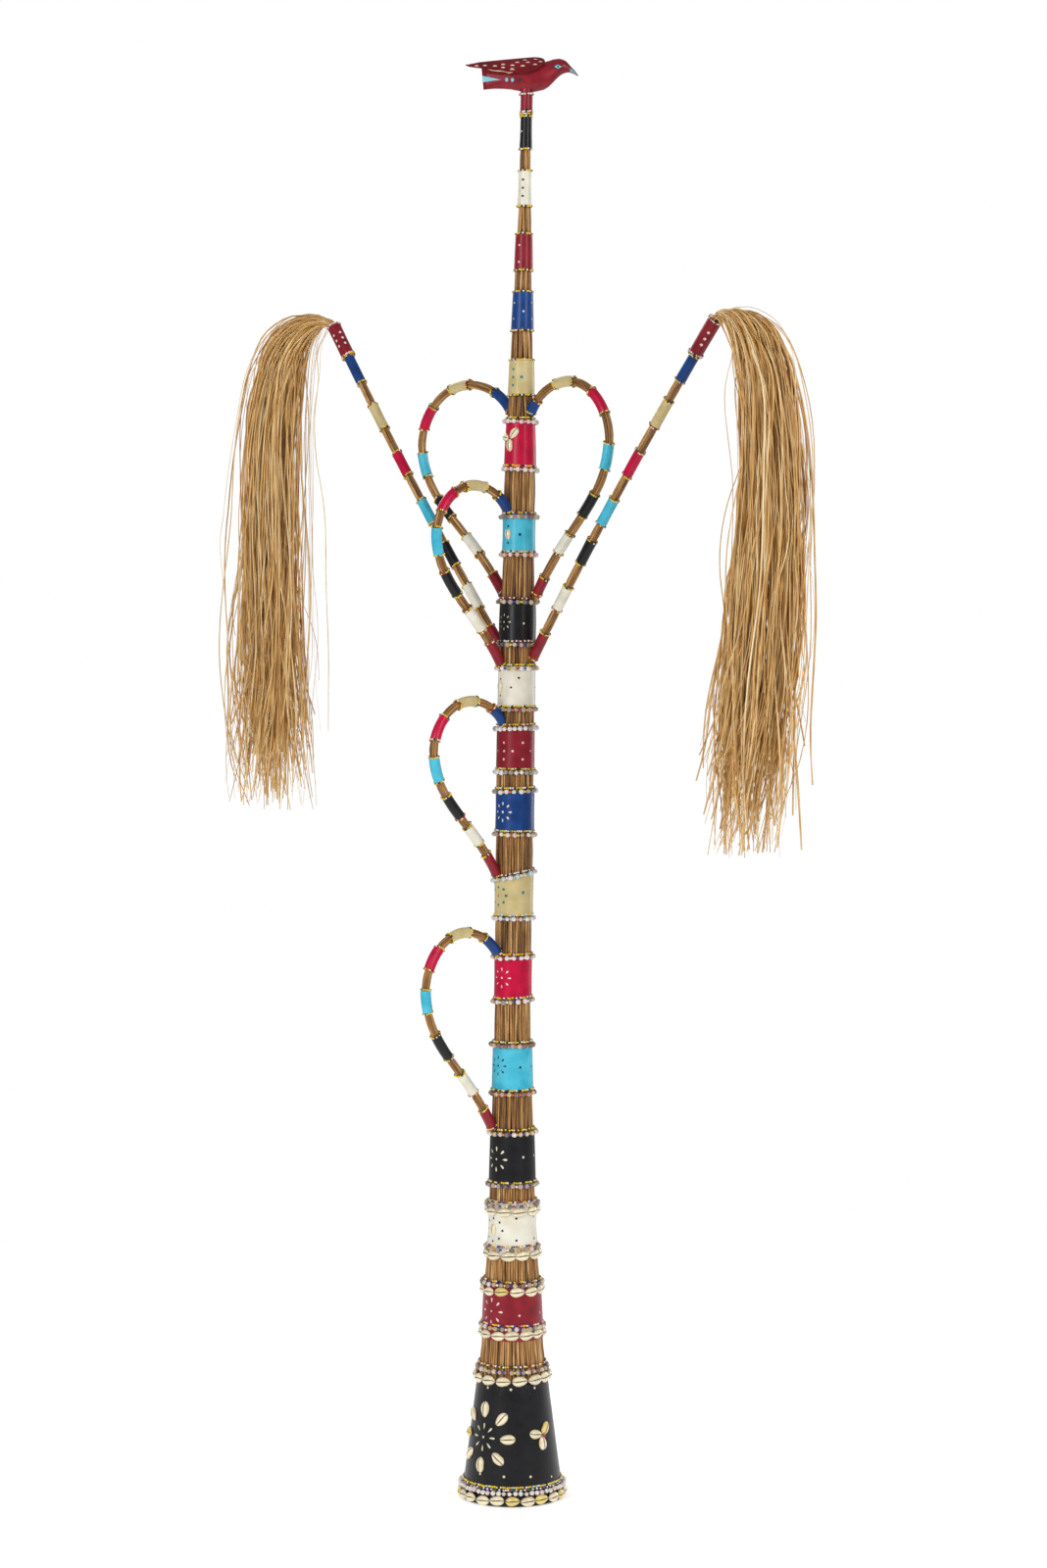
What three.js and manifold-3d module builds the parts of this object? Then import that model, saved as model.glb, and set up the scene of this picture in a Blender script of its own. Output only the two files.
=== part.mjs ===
// A tall ceremonial staff of bundled palm-leaf ribs. Dyed leather bands hold the bundle, bead and
// shell strings trim their edges, thin rib bundles leave it as loops and arms, straw hangs from the
// arms and a leather bird tops it. Millimetres, +Z up. It stands on z = 0, its three front loops
// point to -Y, its heart and its arms lie along X.
import * as THREE from "three";
import { mergeVertices } from "three/addons/utils/BufferGeometryUtils.js";
import Module from "manifold-3d";

const wasm = await Module();
wasm.setup();

// Air between pieces that touch, and thickness of the leather
const GAP = 0.35;
const LEATHER = 1.5;

// The dyes follow one another in this order up the stem and up every loop and arm
const DYES = {
  dark_red: "#8e2430",
  white: "#ece8db",
  black: "#2b2a2d",
  turquoise: "#4fc4dc",
  pink: "#d6124b",
  cream: "#d8c690",
  blue: "#1c3f86",
};
const DYE_ORDER = Object.keys(DYES);

// Stem: height and radius over the ribs, from the flared foot to the neck
const STEM_PROFILE = [
  [0, 62],
  [150, 40.3],
  [300, 32],
  [345, 28.6],
  [400, 27.6],
  [610, 21.9],
  [790, 21.9],
  [970, 21.9],
  [1150, 21.2],
  [1290, 18.2],
  [1480, 12.4],
  [1640, 6.8],
  [1786, 5.4],
];
const STEM_SIDES = 36;
const STEM_FLUTE = 1.1;

// The stem bends towards +X above this height
const LEAN = 26;
const LEAN_START = 550;
const LEAN_END = 1790;
const LEAN_POWER = 1.3;

// Leather bands from the bottom up: lower and upper edge
const BANDS = [
  [227.2, 263.4],
  [330.1, 365.5],
  [410.7, 467.1],
  [530.3, 580.8],
  [647.8, 694.7],
  [753.9, 795.1],
  [861, 905.5],
  [940, 984.4],
  [1020, 1063.6],
  [1102.5, 1146.8],
  [1214.7, 1255.5],
  [1321.8, 1374.7],
  [1412.4, 1454.2],
  [1493.7, 1540],
  [1569.4, 1612.7],
  [1649.8, 1691.5],
  [1721.2, 1759.6],
];
const BAND_SIDES = 12;

// Leather skirt of the foot
const SKIRT_TOP = 149.5;
const SKIRT_THICKNESS = 2.6;
const SKIRT_SIDES = 24;

// Bead and shell strings: how far they stand out and how tall they are
const STRING_DEPTH = 6.3;
const STRING_DENT = 1.6;
const STRING_HEIGHT = 9.6;
const STRING_CORNER = 1;
const SHELL_STRING_HEIGHT = 19.5;
const STRINGED_BANDS = 12;
const SHELL_BANDS = 2;
const FOOT_STRING = [1.5, 27];
const SKIRT_STRING_HEIGHT = 28;

// Neck sleeve under the bird
const NECK = [1768, 1789.5];
const NECK_RADIUS = 7.9;

// Loops and arms: radius of the rib bundle and of its leather cuffs
const LIMB_RADIUS = 5.1;
const CUFF_RADIUS = 6.2;
const LIMB_SIDES = 6;

// Loops share one outline in units of their reach (outwards) and rise (upwards):
// a leg that swings out to the widest point, then a round head that turns back to the stem
const LEG_CONTROLS = [0.42, 0.335, 0.95, 0.43];
const WIDEST = 0.72;
const APEX = 0.47;
const HEAD_INNER = 0.585;
const HEAD_END = THREE.MathUtils.degToRad(150);

// Loops: direction seen from above in degrees, start beside the stem, reach, rise
// and the sideways set of the lower end
const LOOPS = [
  { name: "front_loop_lower", azimuth: -90, start: 28, height: 478, reach: 123, rise: 255, aside: -8 },
  { name: "front_loop_middle", azimuth: -90, start: 23, height: 801, reach: 118, rise: 224, aside: -8 },
  { name: "front_loop_upper", azimuth: -90, start: 21, height: 1068, reach: 120, rise: 228, aside: -8 },
  { name: "heart_loop_left", azimuth: 180, start: 20, height: 1158, reach: 158, rise: 271, aside: 7 },
  { name: "heart_loop_right", azimuth: 0, start: 23, height: 1158, reach: 132, rise: 267, aside: 7 },
];
const LOOP_CUFF = 33;
const FIRST_CUFF_CENTRE = 0.192;
const CUFF_PITCH = 0.152;

// Arms: start at the stem, tip, bow of the middle, and the cuffs counted back from the tip
const ARMS = [
  { name: "arm_left", azimuth: 180, start: [20, 1090], tip: [346, 1518], bow: -5, cuff: 76, pitch: 76.5 },
  { name: "arm_right", azimuth: 0, start: [20, 1077], tip: [336, 1486], bow: 6, cuff: 70, pitch: 70.5 },
];
const ARM_AXIS_HEIGHT = 1090;
const ARM_ASIDE = 7;
const ARM_CUFF = 36;
const ARM_END_CUFF = 50;
const END_CUFF_RADIUS = 7.4;

// Straw plumes: rise over the arm's tip, how far out the middle hangs, half width, half depth and length
const PLUMES = [
  { name: "straw_plume_left", rise: 18, out: 128, halfWidth: 76, halfDepth: 40, length: 650 },
  { name: "straw_plume_right", rise: 10, out: 78, halfWidth: 50, halfDepth: 60, length: 625 },
];
// Share of the length, share of the outward set, share of the half width
const PLUME_STATIONS = [
  [0, 0.42, 0.22],
  [0.02, 0.5, 0.46],
  [0.06, 0.62, 0.62],
  [0.14, 0.86, 0.74],
  [0.28, 1, 0.84],
  [0.48, 1, 0.96],
  [0.68, 0.99, 1.02],
  [0.86, 0.88, 1.02],
  [0.96, 0.78, 0.86],
  [1, 0.74, 0.62],
];
const PLUME_SIDES = 14;
const PLUME_LOCK = 0.1;
const THROAT_RADIUS = 6.4;
const THROAT_REACH = 0.5;
const THROAT_WIDENING = [1, 1.3, 1.6];

// Bird: height of its underside, heading seen from above, and body sections from the tail to the beak's tip
const BIRD_HEIGHT = 1790;
const BIRD_HEADING = 45;
// Distance along the body, middle height, half height, half width
const BIRD_SECTIONS = [
  [-58, 17.3, 13.6, 2.2],
  [-40, 18.6, 13.6, 6],
  [-20, 19.4, 15.2, 10],
  [0, 18.9, 18.2, 12.5],
  [22, 21, 17.2, 11.5],
  [33, 27, 14.6, 9.5],
  [42, 32, 10.6, 8.5],
  [50, 32.2, 7.2, 6.4],
  [54, 30.2, 4.8, 4],
  [60, 26, 2.8, 2.4],
  [65, 21.4, 0.7, 0.7],
];
const BIRD_SIDES = 12;
const WING_THICKNESS = 1.6;
const WING_TILT = 45;
const WING_LIFT = 46.6;
const WING_OFFSET = 1.4;
// Wing outline as [along the bird, across the flap]
const WING_SHOULDER = [22, 5];
const WING_FRONT = [10, 0];
const WING_BACK = [-60, 11];
const WING_TIP = [-78, 16];
const WING_HEM = [
  [-66, 20],
  [-23, 26],
];
const WING_CHEST = [14, 20];

// Value at a height, on straight lines between the heights of the stem's profile
function alongStem(z, valueOf) {
  const found = STEM_PROFILE.findIndex(([height]) => height > z);
  const upper = found < 1 ? STEM_PROFILE.length - 1 : found;
  const [below, above] = [STEM_PROFILE[upper - 1], STEM_PROFILE[upper]];
  return THREE.MathUtils.mapLinear(z, below[0], above[0], valueOf(below), valueOf(above));
}

// Horizontal distance of the stem's axis from the origin at a height
function leanAt(z) {
  return alongStem(z, ([height]) => {
    const share = Math.max(0, (height - LEAN_START) / (LEAN_END - LEAN_START));
    return LEAN * share ** LEAN_POWER;
  });
}

// Radius over the ribs at a height
function stemRadius(z) {
  return alongStem(z, ([, radius]) => radius);
}

// Heights of the stem's profile that fall inside a stretch, with the stretch's ends
function stationsBetween(low, high) {
  const inside = STEM_PROFILE.map(([z]) => z).filter((z) => z > low + 1 && z < high - 1);
  return [low, ...inside, high];
}

// Surface of [radius, distance] pairs turned about +Z, its vertices moved by place(vector, side index)
function turned(pairs, sides, place) {
  const profile = pairs.map(([radius, distance]) => new THREE.Vector2(radius, distance));
  const lathe = new THREE.LatheGeometry(profile, sides);
  const positions = lathe.getAttribute("position");
  const vertex = new THREE.Vector3();
  for (let i = 0; i < positions.count; i++) {
    vertex.fromBufferAttribute(positions, i);
    vertex.set(vertex.z, vertex.x, vertex.y);
    place(vertex, Math.floor(i / profile.length) % sides);
    positions.setXYZ(i, vertex.x, vertex.y, vertex.z);
  }
  return closed(lathe);
}

// Geometry with shared vertices and no collapsed triangles
function closed(geometry) {
  const bare = new THREE.BufferGeometry();
  bare.setAttribute("position", geometry.getAttribute("position"));
  bare.setIndex(geometry.index);
  const merged = mergeVertices(bare, 1e-4);
  const corners = Array.from(merged.index.array);
  const kept = [];
  for (let i = 0; i < corners.length; i += 3) {
    const [a, b, c] = corners.slice(i, i + 3);
    if (a !== b && b !== c && c !== a) kept.push(a, b, c);
  }
  merged.setIndex(kept);
  return merged;
}

// Geometry as a solid for cutting and joining, and back
function solidOf(geometry) {
  return new wasm.Manifold(
    new wasm.Mesh({
      numProp: 3,
      vertProperties: new Float32Array(geometry.getAttribute("position").array),
      triVerts: new Uint32Array(geometry.index.array),
    }),
  );
}

function geometryOf(solid) {
  const mesh = solid.getMesh();
  const geometry = new THREE.BufferGeometry();
  geometry.setAttribute("position", new THREE.BufferAttribute(mesh.vertProperties, 3));
  geometry.setIndex(new THREE.BufferAttribute(mesh.triVerts, 1));
  return geometry;
}

// Moves a vertex of an upright piece onto the leaning axis
function lean(vertex) {
  vertex.x += leanAt(vertex.z);
}

// Moves a vertex towards the Z axis
function sink(vertex, depth) {
  const radius = Math.hypot(vertex.x, vertex.y);
  if (radius === 0) return;
  vertex.x *= 1 - depth / radius;
  vertex.y *= 1 - depth / radius;
}

function material(colour, roughness) {
  return new THREE.MeshStandardMaterial({ color: colour, roughness, metalness: 0 });
}

const staff = new THREE.Group();
const ribs = material("#9a7440", 0.8);
const beads = material("#cdbfae", 0.4);
const straw = material("#c2985e", 0.9);

function addPiece(name, geometry, finish) {
  geometry.computeVertexNormals();
  const mesh = new THREE.Mesh(geometry, finish);
  mesh.name = name;
  staff.add(mesh);
}

const leather = (dye) => material(DYES[dye], 0.35);
const dyeOf = (index) => DYE_ORDER[index % DYE_ORDER.length];
const numbered = (index) => String(index + 1).padStart(2, "0");

// Stem: a fluted bundle that stands flat on the ground
function stem() {
  const [foot, top] = [STEM_PROFILE[0], STEM_PROFILE.at(-1)];
  const outline = [[0, foot[0]], ...STEM_PROFILE.map(([z, radius]) => [radius, z]), [0, top[0]]];
  const flute = (vertex, side) => {
    if (side % 2) sink(vertex, STEM_FLUTE);
    lean(vertex);
  };
  return turned(outline, STEM_SIDES, flute);
}

// Leather sleeve around the stem between two heights, its inner wall clear of the ribs by `clear`
function sleeve(low, high, clear, thickness, sides) {
  const toVertex = 1 / Math.cos(Math.PI / sides);
  const stations = stationsBetween(low, high);
  const wall = (offset) => stations.map((z) => [(stemRadius(z) + offset) * toVertex, z]);
  const outer = wall(clear + thickness);
  const inner = wall(clear).reverse();
  return turned([...outer, ...inner, outer[0]], sides, lean);
}

// Bead string: a ring with rounded edges whose outside is dented between the beads
function beadString(low, high, clear, sides) {
  const toVertex = 1 / Math.cos(Math.PI / sides);
  const middle = (low + high) / 2;
  const inner = Math.max(stemRadius(low), stemRadius(high)) + clear;
  const shoulder = (z) => [(inner + STRING_DEPTH) * toVertex, z];
  const [bottom, top] = [(low + middle) / 2, (high + middle) / 2];
  const ring = [[inner * toVertex, low], shoulder(bottom), shoulder(top), [inner * toVertex, high]];
  const dent = (vertex, side) => {
    const isOutside = Math.hypot(vertex.x, vertex.y) > inner * toVertex + STRING_CORNER;
    if (isOutside && side % 2) sink(vertex, STRING_DENT);
    lean(vertex);
  };
  return turned([...ring, ring[0]], sides, dent);
}

// Everything that a loop or an arm must keep clear of where it meets the stem
function stemEnvelope() {
  const rows = [];
  const add = (low, high, offset) => {
    stationsBetween(low, high).forEach((z) => rows.push([stemRadius(z) + offset + GAP, z]));
  };
  let from = SKIRT_TOP + SKIRT_STRING_HEIGHT + GAP;
  BANDS.slice(0, STRINGED_BANDS).forEach(([low, high], index) => {
    const height = index < SHELL_BANDS ? SHELL_STRING_HEIGHT : STRING_HEIGHT;
    add(from, low - height - GAP, 0);
    add(low - height - GAP, high + height + GAP, GAP + STRING_DEPTH + STRING_CORNER);
    from = high + height + GAP;
  });
  add(from, BANDS[STRINGED_BANDS][0], 0);
  const outline = [[0, rows[0][1]], ...rows, [0, rows.at(-1)[1]]];
  return solidOf(turned(outline, STEM_SIDES, lean));
}

// Frame of a flat limb: a path in (outwards, up), its direction seen from above
// and the sideways set of its lower end
function limbPlacer(path, azimuth, axisX, aside) {
  const angle = THREE.MathUtils.degToRad(azimuth);
  const outward = new THREE.Vector3(Math.cos(angle), Math.sin(angle), 0);
  const across = new THREE.Vector3(-Math.sin(angle), Math.cos(angle), 0);
  const up = new THREE.Vector3(0, 0, 1);
  const length = path.getLength();
  const lowest = path.getPointAt(0).y;
  const highest = Math.max(...path.getSpacedPoints(60).map((point) => point.y));
  return (vertex) => {
    const share = THREE.MathUtils.clamp(vertex.z / length, 0, 1);
    const centre = path.getPointAt(share);
    const tangent = path.getTangentAt(share);
    const set = aside * (1 - (centre.y - lowest) / (highest - lowest));
    const [towardsNormal, towardsAcross] = [vertex.x, vertex.y];
    vertex.set(axisX, 0, 0);
    vertex.addScaledVector(outward, centre.x + towardsNormal * tangent.y);
    vertex.addScaledVector(up, centre.y - towardsNormal * tangent.x);
    vertex.addScaledVector(across, towardsAcross + set);
  };
}

// Profile of a rib bundle whose cuffs, given as [start, end] distances, stand out as steps
function cuffedPairs(length, cuffs, isCurved) {
  const rows = [[0, 0]];
  cuffs.forEach(([from, to]) => {
    if (from > 0) rows.push([LIMB_RADIUS, from]);
    const middle = isCurved ? [[CUFF_RADIUS, (from + to) / 2]] : [];
    rows.push([CUFF_RADIUS, from], ...middle, [CUFF_RADIUS, to]);
    if (to < length) rows.push([LIMB_RADIUS, to]);
  });
  const last = cuffs.at(-1)[1];
  if (last < length) rows.push([LIMB_RADIUS, length]);
  rows.push([0, length]);
  return rows;
}

// A loop leaves the stem at its lower end and comes back to it at its upper end
function loopPath({ start, height, reach, rise }) {
  const [c1u, c1v, c2u, c2v] = LEG_CONTROLS;
  const at = (u, v) => [start + u * reach, height + v * rise];
  const head = (halfWidth, from, to) => {
    path.absellipse(...at(APEX, WIDEST), halfWidth * reach, (1 - WIDEST) * rise, from, to, false);
  };
  const path = new THREE.Path();
  path.moveTo(...at(0, 0));
  path.bezierCurveTo(...at(c1u, c1v), ...at(c2u, c2v), ...at(1, WIDEST));
  head(1 - APEX, 0, Math.PI / 2);
  head(HEAD_INNER, Math.PI / 2, HEAD_END);
  return path;
}

function loopGeometry(loop, envelope) {
  const path = loopPath(loop);
  const length = path.getLength();
  const cuffs = [[0, LOOP_CUFF]];
  for (let i = 0; i < DYE_ORDER.length - 2; i++) {
    const centre = (FIRST_CUFF_CENTRE + i * CUFF_PITCH) * length;
    cuffs.push([centre - LOOP_CUFF / 2, centre + LOOP_CUFF / 2]);
  }
  cuffs.push([length - LOOP_CUFF, length]);
  const axisX = leanAt(loop.height + loop.rise / 2);
  const place = limbPlacer(path, loop.azimuth, axisX, loop.aside);
  const tube = solidOf(turned(cuffedPairs(length, cuffs, true), LIMB_SIDES, place));
  return geometryOf(tube.subtract(envelope));
}

function armPath({ start, tip, bow }) {
  const path = new THREE.Path();
  const [x0, z0] = start;
  const [x1, z1] = tip;
  const span = Math.hypot(x1 - x0, z1 - z0);
  const middleX = (x0 + x1) / 2 - (2 * bow * (z1 - z0)) / span;
  const middleZ = (z0 + z1) / 2 + (2 * bow * (x1 - x0)) / span;
  path.moveTo(x0, z0);
  path.quadraticCurveTo(middleX, middleZ, x1, z1);
  return path;
}

function armPlacer(arm) {
  return limbPlacer(armPath(arm), arm.azimuth, leanAt(ARM_AXIS_HEIGHT), ARM_ASIDE);
}

// The rib bundle runs on inside the end cuff
function armGeometry(arm, envelope) {
  const length = armPath(arm).getLength();
  const cuffs = [[0, ARM_CUFF]];
  for (let i = DYE_ORDER.length - 2; i >= 0; i--) {
    const centre = length - arm.cuff - i * arm.pitch;
    cuffs.push([centre - ARM_CUFF / 2, centre + ARM_CUFF / 2]);
  }
  const tube = turned(cuffedPairs(length - GAP, cuffs, false), LIMB_SIDES, armPlacer(arm));
  return geometryOf(solidOf(tube).subtract(envelope));
}

function endCuffGeometry(arm) {
  const length = armPath(arm).getLength();
  const inner = (LIMB_RADIUS + GAP) / Math.cos(Math.PI / LIMB_SIDES);
  const [from, to] = [length - ARM_END_CUFF, length];
  const ring = [[inner, from], [END_CUFF_RADIUS, from], [END_CUFF_RADIUS, to], [inner, to], [inner, from]];
  return turned(ring, BAND_SIDES, armPlacer(arm));
}

// A plume is a mop of straw: a thin throat out of the cuff joined to a hanging body with locks
function plumeGeometry(arm, plume) {
  const angle = THREE.MathUtils.degToRad(arm.azimuth);
  const outward = Math.cos(angle);
  const [tipOut, tipZ] = arm.tip;
  const axisX = leanAt(ARM_AXIS_HEIGHT);
  const stations = PLUME_STATIONS.map(([share]) => [1, -share]).reverse();
  const outline = [[0, -1], ...stations, [0, 0]];
  const stationAt = (share) => PLUME_STATIONS.find(([s]) => Math.abs(s - share) < 1e-4);
  const body = turned(outline, PLUME_SIDES, (vertex, side) => {
    const [share, outShare, widthShare] = stationAt(-vertex.z);
    const lock = side % 2 ? 1 - PLUME_LOCK : 1;
    const centre = axisX + outward * (tipOut + outShare * plume.out);
    vertex.x = centre + vertex.x * widthShare * plume.halfWidth * lock;
    vertex.y *= widthShare * plume.halfDepth * lock;
    vertex.z = tipZ + plume.rise - share * plume.length;
  });
  const length = armPath(arm).getLength();
  const direction = armPath(arm).getTangentAt(1);
  const throatPath = new THREE.Path();
  throatPath.moveTo(tipOut + direction.x * GAP, tipZ + direction.y * GAP);
  throatPath.quadraticCurveTo(
    tipOut + direction.x * plume.rise,
    tipZ + direction.y * plume.rise,
    tipOut + plume.out * THROAT_REACH,
    tipZ + plume.rise / 2,
  );
  const throatLength = throatPath.getLength();
  const widening = THROAT_WIDENING.map((factor, i) => [THROAT_RADIUS * factor, (i / 2) * throatLength]);
  const throatPairs = [[0, 0], ...widening, [0, throatLength]];
  const throat = turned(throatPairs, BAND_SIDES, limbPlacer(throatPath, arm.azimuth, axisX, 0));
  const room = [[0, length - ARM_END_CUFF], [END_CUFF_RADIUS + GAP, length - ARM_END_CUFF]];
  const roomPairs = [...room, [END_CUFF_RADIUS + GAP, length], [0, length]];
  const cuffRoom = turned(roomPairs, BAND_SIDES, armPlacer(arm));
  return geometryOf(solidOf(throat).add(solidOf(body)).subtract(solidOf(cuffRoom)));
}

// Bird: sections along its heading, standing on the neck
function birdPlacer() {
  const angle = THREE.MathUtils.degToRad(BIRD_HEADING);
  const forward = new THREE.Vector3(Math.cos(angle), Math.sin(angle), 0);
  const right = new THREE.Vector3(Math.sin(angle), -Math.cos(angle), 0);
  const up = new THREE.Vector3(0, 0, 1);
  return (along, aside, height) =>
    new THREE.Vector3(leanAt(BIRD_HEIGHT), 0, BIRD_HEIGHT)
      .addScaledVector(forward, along)
      .addScaledVector(right, aside)
      .addScaledVector(up, height);
}

function birdBody() {
  const place = birdPlacer();
  const last = BIRD_SECTIONS.length - 1;
  const outline = [[0, 0], ...BIRD_SECTIONS.map((_, index) => [1, index]), [0, last]];
  return turned(outline, BIRD_SIDES, (vertex) => {
    const [along, middle, halfHeight, halfWidth] = BIRD_SECTIONS[Math.round(vertex.z)];
    vertex.copy(place(along, vertex.y * halfWidth, middle + vertex.x * halfHeight));
  });
}

// Wing: a leather flap over the back, its inner edge on the bird's middle, sloping down outwards
function wing(side) {
  const outline = new THREE.Shape();
  outline.moveTo(...WING_SHOULDER);
  outline.quadraticCurveTo(WING_SHOULDER[0], WING_FRONT[1], ...WING_FRONT);
  [WING_BACK, WING_TIP, ...WING_HEM].forEach((point) => outline.lineTo(...point));
  outline.quadraticCurveTo(0, WING_HEM[1][1] + 3, ...WING_CHEST);
  outline.quadraticCurveTo(WING_SHOULDER[0], WING_CHEST[1] - 6, ...WING_SHOULDER);
  const flap = new THREE.ExtrudeGeometry(outline, {
    depth: WING_THICKNESS,
    bevelEnabled: false,
    curveSegments: 3,
  });
  const place = birdPlacer();
  const tilt = THREE.MathUtils.degToRad(WING_TILT);
  const positions = flap.getAttribute("position");
  const vertex = new THREE.Vector3();
  for (let i = 0; i < positions.count; i++) {
    vertex.fromBufferAttribute(positions, i);
    const out = WING_OFFSET + vertex.y * Math.cos(tilt) + vertex.z * Math.sin(tilt);
    const height = WING_LIFT - vertex.y * Math.sin(tilt) + vertex.z * Math.cos(tilt);
    vertex.copy(place(vertex.x, side * out, height));
    positions.setXYZ(i, vertex.x, vertex.y, vertex.z);
  }
  if (!flap.index) flap.setIndex([...Array(positions.count).keys()]);
  const whole = closed(flap);
  if (side > 0) {
    const turnedRound = Array.from(whole.index.array);
    for (let i = 0; i < turnedRound.length; i += 3) {
      [turnedRound[i + 1], turnedRound[i + 2]] = [turnedRound[i + 2], turnedRound[i + 1]];
    }
    whole.setIndex(turnedRound);
  }
  return whole;
}

addPiece("palm_rib_stem", stem(), ribs);
addPiece("foot_skirt", sleeve(0, SKIRT_TOP, GAP, SKIRT_THICKNESS, SKIRT_SIDES), leather("black"));
addPiece(
  "skirt_shell_string",
  beadString(SKIRT_TOP + GAP, SKIRT_TOP + SKIRT_STRING_HEIGHT, GAP, SKIRT_SIDES),
  beads,
);
addPiece("foot_shell_string", beadString(...FOOT_STRING, 2 * GAP + SKIRT_THICKNESS, SKIRT_SIDES), beads);

BANDS.forEach(([low, high], index) => {
  const dye = dyeOf(index);
  addPiece(`band_${numbered(index)}_${dye}`, sleeve(low, high, GAP, LEATHER, BAND_SIDES), leather(dye));
  if (index >= STRINGED_BANDS) return;
  const height = index < SHELL_BANDS ? SHELL_STRING_HEIGHT : STRING_HEIGHT;
  const string = `bead_string_${numbered(index)}`;
  addPiece(`${string}_lower`, beadString(low - height, low - GAP, GAP, BAND_SIDES), beads);
  addPiece(`${string}_upper`, beadString(high + GAP, high + height, GAP, BAND_SIDES), beads);
});

const envelope = stemEnvelope();
LOOPS.forEach((loop) => addPiece(loop.name, loopGeometry(loop, envelope), ribs));
ARMS.forEach((arm, index) => {
  addPiece(arm.name, armGeometry(arm, envelope), ribs);
  addPiece(`${arm.name}_end_cuff`, endCuffGeometry(arm), leather("dark_red"));
  addPiece(PLUMES[index].name, plumeGeometry(arm, PLUMES[index]), straw);
});

const neckClear = NECK_RADIUS - LEATHER - stemRadius(NECK[0]);
addPiece("neck_sleeve", sleeve(...NECK, neckClear, LEATHER, BAND_SIDES), leather("dark_red"));
addPiece("bird_body", birdBody(), leather("dark_red"));
addPiece("bird_wing_right", wing(1), leather("dark_red"));
addPiece("bird_wing_left", wing(-1), leather("dark_red"));

export default staff;
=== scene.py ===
# %% [markdown]
# # A palm-rib ceremonial staff
# The real object is a bundle of dried palm-leaf ribs, about as tall as a person. Dyed leather is
# wrapped round it in bands, and strings of glass beads, seeds and cowrie shells trim each edge.
# Thin bundles of ribs leave it as loops and as two long arms, straw hangs from the arms, and a
# leather bird sits on top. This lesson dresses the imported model, piece by piece, in the same frame.

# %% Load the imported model
import math
import random

import bmesh
import bpy
import numpy as np
from mathutils import Matrix, Vector
from mathutils.bvhtree import BVHTree


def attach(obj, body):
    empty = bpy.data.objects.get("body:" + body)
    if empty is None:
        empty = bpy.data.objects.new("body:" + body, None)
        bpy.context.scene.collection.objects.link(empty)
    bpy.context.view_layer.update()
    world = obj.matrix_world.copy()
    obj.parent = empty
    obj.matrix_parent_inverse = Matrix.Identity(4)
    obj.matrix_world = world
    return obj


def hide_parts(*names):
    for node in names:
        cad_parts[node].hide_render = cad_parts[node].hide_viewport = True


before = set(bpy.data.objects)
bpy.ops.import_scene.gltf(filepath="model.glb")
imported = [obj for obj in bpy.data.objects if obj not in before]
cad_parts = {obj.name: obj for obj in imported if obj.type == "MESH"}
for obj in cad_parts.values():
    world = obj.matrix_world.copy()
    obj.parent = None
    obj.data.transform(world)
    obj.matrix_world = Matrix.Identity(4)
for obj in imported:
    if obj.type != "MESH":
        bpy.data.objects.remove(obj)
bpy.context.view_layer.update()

# %% [markdown]
# ## The measurements
# Everything below is worked out in millimetres, because the craft is: a bead of 2.6, a rib of 3.4.
# One factor turns it into Blender's metres at the end. The stem's radius is kept as a short table
# of heights, since the flare of the foot and the thinning towards the neck follow no simple curve.
# The stem also leans a little towards +X in its upper part, by the same amounts as the solids.

# %% Sizes of the stem
MM = 0.001
# Height and radius over the ribs, as they show between the leather bands
RIBS_SEEN = [
    (0, 62.3), (150, 43), (184, 41), (192, 39.6), (245, 37), (286, 34.9), (298, 33.6), (348, 29.4),
    (387, 29.2), (440, 27.8), (505, 25.8), (555, 24.4), (609, 23.1), (671, 22.4), (722, 22.9),
    (774, 22.9), (829, 24), (883, 23), (922, 23.3), (962, 22.9), (1004, 22.8), (1042, 22.2), (1082, 22),
    (1125, 22.1), (1179, 20.6), (1235, 19), (1291, 19.6), (1348, 18.2), (1396, 16), (1433, 15),
    (1477, 13.4), (1517, 12), (1551, 10.8), (1591, 9.9), (1631, 8.6), (1670, 7), (1708, 7), (1740, 5.9),
    (1790, 5.4),
]
LEAN_HEIGHTS = [0, 150, 300, 345, 400, 610, 790, 970, 1150, 1290, 1480, 1640, 1786]
LEAN, LEAN_START, LEAN_SPAN, LEAN_POWER = 26, 550, 1240, 1.3
SKIRT_TOP = 153
NECK_LOW, NECK_HIGH = 1767.6, 1790
# Lower and upper edge of the seventeen bands, as the strings leave them free
BANDS = [
    (227.2, 263.4), (330.1, 365.5), (410.7, 467.1), (530.3, 580.8), (647.8, 694.7), (753.9, 795.1),
    (861, 905.5), (940, 984.4), (1020, 1063.6), (1102.5, 1146.8), (1214.7, 1255.5), (1321.8, 1374.7),
    (1412.4, 1454.2), (1493.7, 1540), (1569.4, 1612.7), (1649.8, 1691.5), (1721.2, 1759.6),
]
DYES = ["dark_red", "white", "black", "turquoise", "pink", "cream", "blue"]


def rib_radius(z):
    return np.interp(z, *zip(*RIBS_SEEN))


def slope_of(radius_at, z, reach):
    """How fast a radius grows with the height, from reach below to reach above."""
    return (radius_at(z + reach) - radius_at(z - reach)) / (2 * reach)


def lean_at(z):
    steps = [LEAN * max(0, (height - LEAN_START) / LEAN_SPAN) ** LEAN_POWER for height in LEAN_HEIGHTS]
    return np.interp(z, LEAN_HEIGHTS, steps)


print("stem radius at the foot and the neck:", rib_radius(0), rib_radius(1790))

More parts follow.
